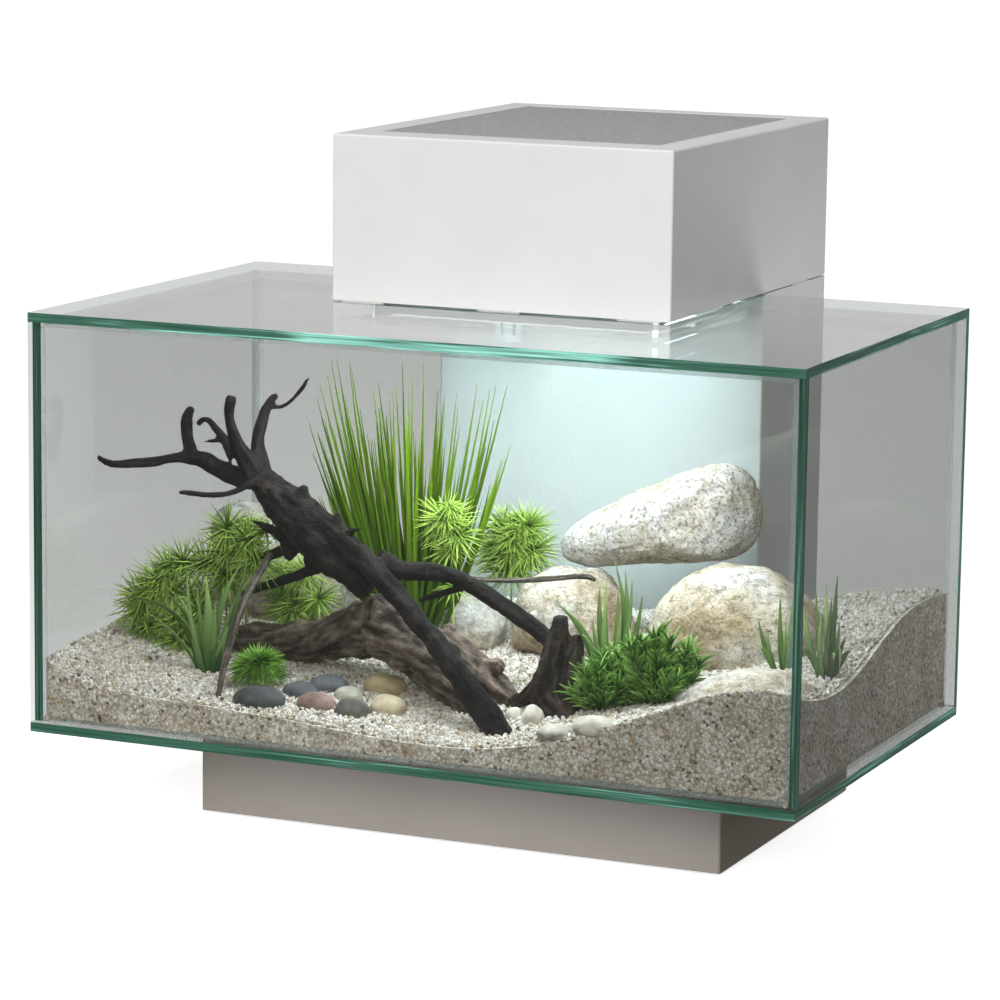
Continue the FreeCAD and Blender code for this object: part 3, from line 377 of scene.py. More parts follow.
def quartz_gravel(name, stops, grain):
    """Washed quartz gravel: pale grains with some grey, amber and dark ones, each of one tone, with painted
    shade in the gaps between grains and a painted glow.
    """
    material, tree = new_material(name)
    place = add(tree, "TexCoord").outputs["Object"]
    cells = add(tree, "TexVoronoi", {"Vector": place, "Scale": 1 / (grain * MM)})
    pick = add(tree, "SeparateXYZ", {"Vector": cells.outputs["Color"]}).outputs["X"]
    tone = ramp(tree, pick, stops, "CONSTANT")
    # painted shade: each grain darkens towards its rim, so the gaps between grains read as shade
    shade = ramp(tree, cells.outputs["Distance"], [
        (0.3, linear("#FFFFFF")), (0.85, linear("#BDB7AE")),
    ])
    base = blend_colours(tree, 0.9, tone, shade, "MULTIPLY")
    patch = object_noise(tree, 26, 3)
    base = blend_colours(tree, 1.0, base, ramp(tree, patch, [
        (0.35, linear("#DEDAD2")), (0.6, linear("#FFFFFF")),
    ]), "MULTIPLY")
    height = add(tree, "Math", {0: 1.0, 1: cells.outputs["Distance"]}, operation="SUBTRACT").outputs[0]
    # painted light: the gravel glows with strength 0.48 up to x = 0, fading to 0.2 by x = 0.12 m, so its left
    # side reads brighter
    across = add(tree, "SeparateXYZ", {"Vector": place}).outputs["X"]
    painted_gravel_glow = add(tree, "MapRange", {
        "Value": across, "From Min": 0.0, "From Max": 0.12, "To Min": 0.48, "To Max": 0.2,
    }).outputs[0]
    principled(tree, base, 0.6, height, 0.35 * MM, **{
        "Emission Color": base, "Emission Strength": painted_gravel_glow,
    })
    return material


GRAVEL_STOPS = [
    (0.0, "#DDD9D0"), (0.22, "#CDC6B9"), (0.44, "#EAE8E2"), (0.6, "#BBB2A3"), (0.74, "#D8D1C3"),
    (0.84, "#A39A8C"), (0.9, "#F3F2EE"), (0.95, "#C9AE86"), (0.975, "#6F675C"),
]


def loose_grains():
    """Washed quartz gravel as single grains: each grain has one tone and a dull wet shine."""
    material, tree = new_material("washed_quartz_grains")
    pick = add(tree, "Attribute", attribute_name="tone").outputs["Fac"]
    tone = ramp(tree, pick, [(place, linear(tint)) for place, tint in GRAVEL_STOPS], "CONSTANT")
    mottle = object_noise(tree, 1.0, 3)
    base = blend_colours(tree, 0.35, tone, ramp(tree, mottle, [
        (0.35, linear("#8E8880")), (0.65, linear("#FFFFFF")),
    ]), "MULTIPLY")
    principled(tree, base, 0.5, mottle, 0.12 * MM)
    return material


def pale_limestone(name, seed, tan, pits):
    """Weathered limestone: chalky white, with tan stains, fine dark pits and thin brown veins."""
    material, tree = new_material(name)
    place = add(tree, "TexCoord").outputs["Object"]
    moved = add(tree, "Mapping", {"Vector": place, "Location": (seed, 2 * seed, 0)}).outputs[0]

    def field(feature, detail, kind="TexNoise", **more):
        sockets = {"Vector": moved, "Scale": 1 / (feature * MM), "Detail": detail, **more}
        return add(tree, kind, sockets).outputs["Fac"]

    stain = field(34, 5, Roughness=0.6)
    base = ramp(tree, stain, [
        (0.42 - 0.16 * tan, linear("#E4E3DE")), (0.58 - 0.14 * tan, linear("#D6CDB8")),
        (0.76 - 0.16 * tan, linear("#B39F7E")), (0.9, linear("#CBC4B4")),
    ])
    cloudy = field(7, 6, Roughness=0.7)
    base = blend_colours(tree, 0.6, base, ramp(tree, cloudy, [
        (0.36, linear("#9D968E")), (0.58, linear("#FFFFFF")),
    ]), "MULTIPLY")
    speck = field(1.7, 5, Roughness=0.7)
    base = blend_colours(tree, 1.0, base, ramp(tree, speck, [
        (0.25 + 0.12 * pits, linear("#8A8580")), (0.41 + 0.12 * pits, linear("#FFFFFF")),
    ]), "MULTIPLY")
    vein_at = add(tree, "Mapping", {"Vector": moved, "Scale": (1, 1, 2.2)}).outputs[0]
    vein = add(tree, "TexNoise", {
        "Vector": vein_at, "Scale": 1 / (15 * MM), "Detail": 4.0, "Roughness": 0.6, "Distortion": 1.2,
    }).outputs["Fac"]
    line = ramp(tree, vein, [
        (0.47, linear("#FFFFFF")), (0.5, linear("#8B7A61")), (0.53, linear("#FFFFFF")),
    ])
    base = blend_colours(tree, 0.25 + 0.5 * tan, base, line, "MULTIPLY")
    relief = add(tree, "Math", {0: speck, 1: cloudy}, operation="ADD").outputs[0]
    principled(tree, base, 0.85, relief, 1.4 * MM)
    return material


def worn_pebble(name, low, high):
    """A river pebble, worn smooth: mottled, with a few pale flecks."""
    material, tree = new_material(name)
    mottle = object_noise(tree, 6, 5, 0.6)
    base = ramp(tree, mottle, [(0.32, linear(low)), (0.68, linear(high))])
    fleck = object_noise(tree, 0.9, 3, 0.7)
    base = blend_colours(tree, 0.5, base, ramp(tree, fleck, [
        (0.58, linear("#FFFFFF")), (0.66, linear("#E9E4DA")),
    ]), "MULTIPLY")
    principled(tree, base, 0.5, fleck, 0.15 * MM)
    return material


def soaked_wood(name, dark, light, grain_width):
    """Soaked bog wood: near black, grained along the branch; its ridges are painted greyer and its grooves
    darker, partly the grain's own tone and partly painted light and shade.
    """
    material, tree = new_material(name)
    grain_light_and_shade = add(tree, "Attribute", attribute_name="grain_light_and_shade").outputs["Fac"]
    mottle = object_noise(tree, 5, 5, 0.65)
    mix = add(tree, "Math", {0: grain_light_and_shade, 1: mottle}, operation="MULTIPLY_ADD")
    mix.inputs[2].default_value = -0.02
    # painted light and shade: raised grain is lighter, up to 2.1 times the light tone on the highest ridges,
    # and grooves are near black
    base = ramp(tree, mix.outputs[0], [
        (0.1, tuple(dark)), (0.45, tuple(light)), (0.75, tuple(min(1, 2.1 * c) for c in light[:3]) + (1,)),
    ])
    fine = object_noise(tree, grain_width, 4, 0.7)
    bark = add(tree, "Math", {0: fine, 1: mottle}, operation="ADD").outputs[0]
    principled(tree, base, 0.78, bark, 1.3 * MM)
    return material


def leaf(name, deep, bright, roughness=0.55):
    """A moulded silk or soft plastic leaf: deeper at its foot, lighter at its tip, faintly ribbed."""
    material, tree = new_material(name)
    along = add(tree, "Attribute", attribute_name="along").outputs["Fac"]
    tone = add(tree, "Attribute", attribute_name="tone").outputs["Fac"]
    base = ramp(tree, along, [(0.0, tuple(deep)), (0.85, tuple(bright))])
    base = blend_colours(tree, 1.0, base, ramp(tree, tone, [
        (0.0, linear("#8C9A84")), (1.0, linear("#FFFFFF")),
    ]), "MULTIPLY")
    rib = object_noise(tree, 1.2, 2)
    principled(tree, base, roughness, rib, 0.05 * MM, **{"Specular IOR Level": 0.25})
    return material


# ---------------------------------------------------------------- the scape's shapes
def ground_tree():
    bed = NODES["gravel_bed"]
    return BVHTree.FromPolygons(
        [v.co for v in bed.data.vertices], [tuple(p.vertices) for p in bed.data.polygons]
    )


def ground_height(tree, x, y):
    """The gravel's height in the frame below a place, or None where something stands in it."""
    hit = tree.ray_cast(Vector((x, y, INNER_HIGH.z)), Vector((0, 0, -1)))
    if hit[0] is None or hit[1].z < 0.2:
        return None
    return hit[0].z


STONES = {  # outline in x and z, middle y and half depth, in mm, and how stained and pitted it is
    "stone_top": ([(221, 88), (229, 99), (247, 110), (270, 122), (293, 133), (311, 140), (325, 141),
                   (336, 130), (339, 108), (331, 92), (306, 87), (262, 82), (233, 78)], 190, 30, 0.1, 0.8),
    "stone_right": ([(289, 44), (294, 58), (301, 73), (315, 89), (332, 95), (355, 93), (373, 84),
                     (389, 70), (396, 54), (386, 30), (345, 24), (300, 28)], 150, 34, 0.75, 0.2),
    "stone_middle": ([(207, 58), (217, 73), (232, 81), (256, 81), (271, 66), (276, 48), (272, 32),
                      (233, 28), (209, 34)], 166, 27, 0.7, 0.5),
    "stone_back": ([(156, 46), (160, 58), (178, 65), (200, 61), (205, 45), (200, 32), (160, 28)],
                   160, 19, 0.1, 0.3),
    "stone_left": ([(24, 72), (27, 96), (40, 103), (56, 96), (80, 84), (110, 75), (114, 58),
                    (108, 41), (60, 38), (32, 44)], 166, 28, 0.15, 0.6),
    "stone_front": ([(336, 32), (345, 44), (357, 52), (378, 59), (400, 60), (417, 51), (421, 38),
                     (400, 26), (350, 26)], 62, 25, 0.45, 0.3),
}


def outline_reach(outline, centre, angle):
    """How far the outline lies from its centre in a direction."""
    direction = Vector((math.cos(angle), math.sin(angle)))
    across = Vector((-direction.y, direction.x))
    best = 0.0
    for (x0, z0), (x1, z1) in zip(outline, outline[1:] + outline[:1]):
        a = Vector((x0, z0)) - centre
        b = Vector((x1, z1)) - centre
        side_a, side_b = a.dot(across), b.dot(across)
        if side_a * side_b > 0 or side_a == side_b:
            continue
        t = side_a / (side_a - side_b)
        best = max(best, (a + (b - a) * t).dot(direction))
    return best


def carve_stone(outline, middle, half_depth, roughness):
    """A stone from a ball: pushed out to its outline, then roughened at three scales."""
    centre = Vector((sum(p[0] for p in outline), sum(p[1] for p in outline))) / len(outline)
    choose(NODES["gravel_bed"])
    bpy.ops.object.select_all(action="DESELECT")
    bpy.ops.mesh.primitive_ico_sphere_add(subdivisions=6, radius=1)
    stone = bpy.context.object
    steps = 180
    reach = [outline_reach(outline, centre, 2 * math.pi * i / steps) for i in range(steps)]
    smoothed = [
        sum(reach[(i + k) % steps] for k in range(-4, 5)) / 9 for i in range(steps)
    ]
    seed = Vector((centre.x, middle, 7.0))
    for vertex in stone.data.vertices:
        way = vertex.co.normalized()
        flat = math.hypot(way.x, way.z)
        turn = math.atan2(way.z, way.x) / (2 * math.pi) * steps
        low = int(math.floor(turn))
        part = turn - low
        out = smoothed[low % steps] * (1 - part) + smoothed[(low + 1) % steps] * part
        full = flat ** 0.85
        depth = half_depth * math.copysign(abs(way.y) ** 0.9, way.y)
        bulge = 1 + 0.05 * noise.noise(way * 1.7 + seed)
        place = Vector((centre.x + way.x / max(flat, 1e-6) * full * out * bulge,
                        middle + depth * bulge,
                        centre.y + way.z / max(flat, 1e-6) * full * out * bulge))
        dent = 1.5 * roughness * noise.fractal(place / 13, 0.8, 2.1, 4)
        dent -= 0.9 * roughness * abs(noise.noise(place / 4.2))
        vertex.co = spot(*place) + way * dent * MM
    return stone


PEBBLES = [  # x, y, half length, half depth, half height in mm, turn, dark tone, light tone
    (125, 22, 14, 10, 7.5, 0.1, "#3B3D3C", "#56595A"), (138, 45, 11, 8, 6, -0.3, "#434548", "#62666A"),
    (147, 60, 11, 8, 6, 0.2, "#55585C", "#787C80"), (153, 32, 11, 9, 7, -0.1, "#6B554B", "#967C70"),
    (163, 50, 8, 6, 5.5, 0.2, "#A6A495", "#C8C8B8"), (175, 30, 9.5, 8, 7.5, 0.5, "#4E4C46", "#6C695F"),
    (175, 70, 12, 9, 7, 0.0, "#A3936B", "#CDBD92"), (190, 42, 11, 8, 7, -0.3, "#B0A184", "#DACFAE"),
    (258, 50, 5, 5, 5, 0.0, "#A8A296", "#CFCABC"), (271, 44, 6, 6, 8, 0.3, "#B0A99B", "#D6D1C4"),
    (297, 13, 10, 8, 5, 0.1, "#989286", "#BDB7A8"), (318, 13, 12, 9, 6, 0.0, "#A39C8C", "#CBC5B4"),
]


def wear_pebble(tree, x, y, halves, turn):
    """A pebble from a ball: squashed, turned, and a little uneven."""
    bpy.ops.object.select_all(action="DESELECT")
    bpy.ops.mesh.primitive_ico_sphere_add(subdivisions=4, radius=1)
    pebble = bpy.context.object
    place = spot(x, y, 0)
    ground = ground_height(tree, place.x, place.y + 0.001) or place.z
    beside = [ground_height(tree, place.x + dx, place.y + dy) for dx, dy in (
        (0.018, 0), (-0.018, 0), (0, 0.014), (0, -0.014))]
    levels = [level for level in beside if level is not None]
    place.z = (sum(levels) / len(levels) if levels else ground) + 0.25 * halves[2] * MM
    turned = Matrix.Rotation(turn, 3, "Z")
    for vertex in pebble.data.vertices:
        way = vertex.co.normalized()
        lump = 1 + 0.09 * noise.noise(way * 1.4 + Vector((x, y, 0)))
        shaped = Vector((way.x * halves[0], way.y * halves[1], way.z * halves[2])) * lump * MM
        vertex.co = place + turned @ shaped
    return pebble


TRUNK = [  # branches: points in x, y and z, and the half width at each, in mm
    ([(91, 86, 133), (100, 82, 127), (113, 78, 118), (128, 74, 108), (144, 70, 98), (158, 68, 89),
      (167, 68, 80)],
     [6.5, 9.2, 11.4, 12.4, 12.4, 10.7, 7.5]),
    ([(119, 76, 121), (141, 69, 111), (158, 63, 102), (174, 58, 92), (190, 53, 81), (203, 49, 70),
      (217, 44, 59), (230, 39, 48), (243, 34, 35), (254, 30, 26), (268, 26, 14)],
     [7, 7.5, 6.4, 5.9, 5.6, 5.6, 5.8, 6.3, 7.1, 7.4, 4.7]),
    ([(94, 86, 130), (80, 87, 130), (67, 88, 133), (57, 90, 137), (47, 91, 138), (40, 82, 138), (35, 69, 137),
      (29, 58, 138), (24, 50, 138), (20, 45, 140), (18, 42, 143)],
     [6.5, 6, 5.5, 4.9, 3.8, 2.6, 2.5, 2.6, 2.2, 1.8, 1.6]),
    ([(49, 91, 138), (46, 92, 145), (45, 92, 151), (44, 92, 157), (46, 92, 162), (48, 92, 165)],
     [3.8, 3.3, 3.4, 3.3, 2.7, 2.2]),
    ([(76, 90, 141), (70, 92, 147), (65, 93, 151), (60, 94, 156), (56, 95, 159), (52, 95, 158),
      (50, 95, 155)],
     [4.9, 3.3, 2.3, 2, 1.8, 1.8, 1.8]),
    ([(69, 92, 149), (62, 91, 148), (56, 90, 147)], [2.2, 1.3, 0.6]),
    ([(92, 84, 130), (87, 82, 139), (83, 78, 149), (81, 75, 158), (80, 73, 165), (81, 72, 171),
      (83, 71, 176)],
     [7.1, 6, 4.1, 2.9, 2.8, 2.9, 2.9]),
    ([(94, 86, 132), (91, 88, 141), (88, 91, 149), (88, 95, 157), (88, 100, 164), (89, 104, 169),
      (90, 107, 172), (92, 108, 172)], [6, 4.6, 3.9, 3.4, 2.7, 2.4, 2.1, 1.8]),
    ([(90, 103, 167), (93, 106, 166), (97, 108, 168), (100, 110, 171), (103, 112, 175), (105, 113, 178),
      (106, 114, 181), (108, 115, 183)], [1.6, 1.4, 1.3, 1.2, 1.3, 1.5, 1.2, 0.6]),
    ([(100, 80, 133), (97, 75, 131), (93, 70, 130), (90, 66, 127), (84, 61, 125), (79, 55, 125),
      (72, 50, 126), (67, 47, 127), (65, 45, 127)], [3.2, 2.6, 2.2, 1.9, 1.8, 1.8, 1.8, 1.6, 1.2]),
    ([(122, 75, 119), (122, 75, 127), (125, 75, 130)], [4.9, 4.4, 2.6]),
    ([(131, 72, 116), (132, 72, 121), (134, 72, 123)], [3.6, 2.4, 1.4]),
    ([(116, 77, 96), (113, 78, 90)], [5.0, 2.6]),
    ([(130, 74, 92), (128, 75, 85)], [5.4, 2.4]),
    ([(148, 66, 111), (148, 66, 118), (149, 66, 120)], [3.4, 2.4, 1.4]),
    ([(156, 63, 110), (162, 60, 113), (169, 57, 115)], [2.1, 1.0, 0.5]),
    ([(118, 78, 98), (106, 80, 103), (96, 82, 106), (89, 83, 108)], [5.4, 3.3, 1.9, 0.7]),
    ([(115, 80, 97), (102, 84, 91), (92, 88, 86), (82, 92, 80)], [3.8, 3.5, 3, 1.6]),
    ([(139, 76, 91), (127, 79, 85), (116, 82, 80), (104, 86, 75), (92, 90, 71), (80, 94, 66), (72, 97, 62)],
     [4.3, 3.4, 3, 2.7, 2.4, 2, 1.1]),
    ([(172, 66, 97), (182, 72, 90), (191, 78, 90), (200, 84, 89), (210, 88, 86), (220, 90, 81), (232, 90, 75),
      (244, 88, 69), (256, 85, 63), (266, 80, 58), (272, 76, 51)],
     [5.9, 5.4, 4.8, 4.6, 4.4, 4.3, 4.5, 4.6, 4.7, 3.7, 2.7]),
    ([(212, 89, 82), (202, 90, 78), (195, 88, 76), (188, 84, 73)], [2.1, 2.2, 1.9, 1.6]),
]
LOG = [
    ([(67, 98, 36), (79, 97, 40), (94, 95, 40), (114, 92, 42), (134, 88, 46), (152, 84, 54), (170, 79, 58),
      (187, 73, 51), (203, 66, 44), (218, 60, 36), (232, 54, 27), (238, 52, 22)],
     [4.4, 8.9, 9.9, 10.5, 11.5, 14.7, 16.2, 14.5, 12.9, 10.7, 6.4, 4]),
    ([(170, 80, 59), (166, 80, 69), (164, 78, 74)], [13, 8.6, 4.3]),
    ([(189, 84, 52), (206, 82, 50), (220, 78, 43), (236, 72, 36), (251, 66, 29)], [9.7, 10.8, 9.1, 8, 4.8]),
    ([(205, 84, 57), (206, 84, 62)], [4.8, 2.7]),
    ([(232, 76, 43), (237, 72, 44), (242, 69, 46)], [4.3, 4.8, 3.2]),
    ([(203, 66, 41), (216, 61, 30), (226, 57, 24)], [7.5, 7, 4.8]),
]
STUMP = [
    ([(278, 62, 77), (278, 62, 70), (278, 62, 62), (277, 62, 53), (276, 61, 43), (276, 60, 33),
      (281, 56, 23)],
     [3.7, 4.7, 6.8, 9.5, 12.1, 13.7, 9.5]),
    ([(287, 64, 68), (287, 64, 61), (286, 63, 53), (286, 61, 42), (286, 58, 28)], [2.2, 3.7, 5.3, 6.9, 6.9]),
    ([(270, 62, 41), (261, 62, 33), (252, 62, 27)], [6.3, 4.8, 2.7]),
    ([(281, 56, 34), (288, 50, 26), (292, 44, 22)], [8, 6, 3]),
]
TWIGS = [
    ([(207, 96, 85), (221, 102, 84), (236, 107, 84), (251, 110, 86), (265, 113, 88), (272, 116, 88),
      (275, 117, 86)],
     [1.2, 1.5, 1.6, 1.6, 1.6, 1.6, 1.1]),
    ([(102, 18, 20), (101, 24, 32), (101, 30, 43), (100, 38, 53), (101, 44, 63), (101, 52, 72), (103, 60, 81),
      (104, 68, 87), (104, 76, 92)], [1.4, 1.6, 1.9, 2.0, 2.1, 2.0, 2.0, 2.1, 1.8]),
]


def grow_wood(branches, voxel):
    """Branches as round rods, melted into one skin."""
    rods = []
    for points, halves in branches:
        bpy.ops.object.select_all(action="DESELECT")
        bpy.ops.curve.primitive_nurbs_path_add()
        rod = bpy.context.object
        curve = rod.data
        curve.splines.clear()
        line = curve.splines.new("NURBS")
        line.points.add(len(points) - 1)
        for point, place, half in zip(line.points, points, halves):
            point.co = (*spot(*place), 1)
            point.radius = half
        line.order_u = 3
        line.use_endpoint_u = True
        line.resolution_u = 6
        curve.bevel_depth = MM
        curve.bevel_resolution = 3
        curve.use_fill_caps = True
        choose(rod)
        bpy.ops.object.convert(target="MESH")
        rods.append(bpy.context.object)
    choose(*rods)
    bpy.ops.object.join()
    wood = bpy.context.object
    add_modifier(wood, "REMESH", mode="VOXEL", voxel_size=voxel)
    add_modifier(wood, "SMOOTH", factor=0.5, iterations=3)
    apply_modifiers(wood)
    return wood


def weather_wood(wood, branches, depth, streak, twist=0.0):
    """Cuts a grain into the wood: ridges that run along each branch, and knotty dents."""
    samples = []
    for number, (points, halves) in enumerate(branches):
        run = 0.0
        for (a, b), (ra, rb) in zip(zip(points, points[1:]), zip(halves, halves[1:])):
            pa, pb = spot(*a), spot(*b)
            steps = max(2, int((pb - pa).length / (2 * MM)))
            for i in range(steps):
                t = i / steps
                samples.append((pa.lerp(pb, t), (pb - pa).normalized(), run + t * (pb - pa).length,
                                (ra + t * (rb - ra)) * MM, number))
            run += (pb - pa).length
    lookup = KDTree(len(samples))
    for index, sample in enumerate(samples):
        lookup.insert(sample[0], index)
    lookup.balance()
    ridges = []
    wood.data.update()
    normals = [vertex.normal.copy() for vertex in wood.data.vertices]
    for vertex, normal in zip(wood.data.vertices, normals):
        near = lookup.find_n(vertex.co, 4)
        middle, way, run, half, number = samples[
            min(near, key=lambda found: found[2] / samples[found[1]][3])[1]]
        side = way.cross(Vector((0.1, 1, 0.15))).normalized()
        deep = way.cross(side)
        out = vertex.co - middle
        angle = math.atan2(out.dot(deep), out.dot(side)) + twist * run / (20 * MM)
        around = Vector((math.cos(angle), math.sin(angle), 0)) * streak
        grain = noise.noise(Vector((around.x, around.y, run / (22 * MM) + 9 * number)))
        fine = noise.noise(Vector((around.x * 2.7, around.y * 2.7, run / (9 * MM) + 5 * number)))
        knot = noise.fractal(vertex.co / (11 * MM), 0.9, 2.0, 3)
        amount = min(depth, 0.32 * half / MM)
        push = amount * (0.55 * grain + 0.3 * fine + 0.45 * knot)
        vertex.co += normal * push * MM
        # how high the point lies on the grain; the wood material turns it into painted light on ridges and
        # painted shade in grooves
        ridges.append(min(1.0, max(0.0, 0.5 + 0.9 * (0.6 * grain + 0.5 * fine))))
    wood.data.attributes.new("grain_light_and_shade", "FLOAT", "POINT").data.foreach_set("value", ridges)
    return wood


class Foliage:
    """Collects leaves as points and faces, with a number along each leaf and a tone for each."""

    def __init__(self, seed):
        self.points, self.faces, self.along, self.tone = [], [], [], []
        self.random = random.Random(seed)

    def blade(self, foot, tip, bow, width, fold=0.25, steps=9, belly=0.35):
        """A flat blade, folded along its rib, widest at belly, that ends in a point. Bow bends it."""
        rise = tip - foot
        side = rise.cross(Vector((self.random.uniform(-0.4, 0.4), 1, 0.2))).normalized()
        out = side.cross(rise).normalized()
        start = len(self.points)
        tone = self.random.random()
        for step in range(steps + 1):
            t = step / steps
            middle = foot + rise * t + bow * (4 * t * (1 - t))
            swell = 0.55 + 0.45 * (t / belly) ** 0.5 if t < belly else (1 - (t - belly) / (1 - belly)) ** 0.8
            half = 0.5 * width * max(0.06, swell)
            self.points += [middle - side * half, middle + out * half * fold, middle + side * half]
            self.along += [t, t, t]
            self.tone += [tone, min(1, tone + 0.25), tone]
            if step:
                a = start + 3 * (step - 1)
                self.faces += [(a, a + 1, a + 4, a + 3), (a + 1, a + 2, a + 5, a + 4)]

    def needle(self, foot, way, reach, width, curl):
        """A thin, three-sided needle that curls upwards."""
        side = way.cross(Vector((0.3, 0.2, 1))).normalized()
        deep = way.cross(side).normalized()
        start = len(self.points)
        tone = self.random.random()
        for step, half in ((0, 0.8), (0.5, 1.0), (1.0, 0.15)):
            middle = foot + way * reach * step + Vector((0, 0, 1)) * curl * step * step
            for corner in range(3):
                angle = 2 * math.pi * corner / 3
                self.points.append(
                    middle + (side * math.cos(angle) + deep * math.sin(angle)) * 0.5 * width * half
                )
                self.along.append(step)
                self.tone.append(tone)
        for ring in (0, 3):
            for corner in range(3):
                a, b = start + ring + corner, start + ring + (corner + 1) % 3
                self.faces.append((a, b, b + 3, a + 3))
        self.faces += [(start, start + 2, start + 1), (start + 6, start + 7, start + 8)]

    def whorl(self, place, axis, count, reach, width, lift, curl=0.0):
        """A ring of needles around a stem."""
        side = axis.cross(Vector((0.2, 1, 0.1))).normalized()
        deep = axis.cross(side)
        first = self.random.uniform(0, math.tau)
        for number in range(count):
            angle = first + math.tau * number / count + self.random.uniform(-0.12, 0.12)
            flat = side * math.cos(angle) + deep * math.sin(angle)
            slope = lift + self.random.uniform(-0.18, 0.18)
            way = (flat * math.cos(slope) + axis * math.sin(slope)).normalized()
            self.needle(place, way, reach * self.random.uniform(0.8, 1.1), width, curl)

    def stem(self, foot, tip, width):
        """A thin round stem."""
        self.needle(foot, (tip - foot).normalized(), (tip - foot).length, width, 0.0)

    def dome(self, middle, reach, width, count, lean, curl=0.0):
        """Needles in every direction from a middle, fewer against the way it leans."""
        for number in range(count):
            height = 1 - 2 * (number + 0.5) / count
            angle = number * math.pi * (3 - math.sqrt(5))
            flat = math.sqrt(1 - height * height)
            way = Vector((flat * math.cos(angle), flat * math.sin(angle), height))
            if way.dot(lean) < -0.35:
                continue
            self.needle(middle + way * 0.1 * reach, way, reach * self.random.uniform(0.7, 1.0), width, curl)

    def piece(self, name, material, nodes, slot, thick=0.0):
        low, high = INNER_LOW + Vector((MM, MM, 0)), INNER_HIGH - Vector((MM, MM, MM))
        points = [  # a leaf that meets the glass lies along it
            Vector([min(max(value, least), most) for value, least, most in zip(point, low, high)])
            for point in self.points
        ]
        piece = mesh_object(name, points, self.faces, along=self.along, tone=self.tone)
        if thick:
            add_modifier(piece, "SOLIDIFY", thickness=thick, offset=0.0)
            apply_modifiers(piece)
        return settle(piece, name, material, nodes=nodes)


def rooted(tree, x, y, sink=2.0):
    """A foot in the gravel."""
    place = spot(x, y, 0)
    level = ground_height(tree, place.x, place.y)
    for shift in (0.008, -0.008, 0.014, -0.014):
        if level is None:
            level = ground_height(tree, place.x + shift, place.y + shift)
    place.z = (level if level is not None else spot(0, 0, 35).z) - sink * MM
    return place


# ---------------------------------------------------------------- operators
CAMERA_LENS = 148.92  # mm; it, the place and the turns were solved from the glass's corners
CAMERA_PLACE = (0.8689, -2.0446, 0.5584)
CAMERA_HEADING, CAMERA_TILT, CAMERA_ROLL = 23.59, 80.0, 0.74  # degrees


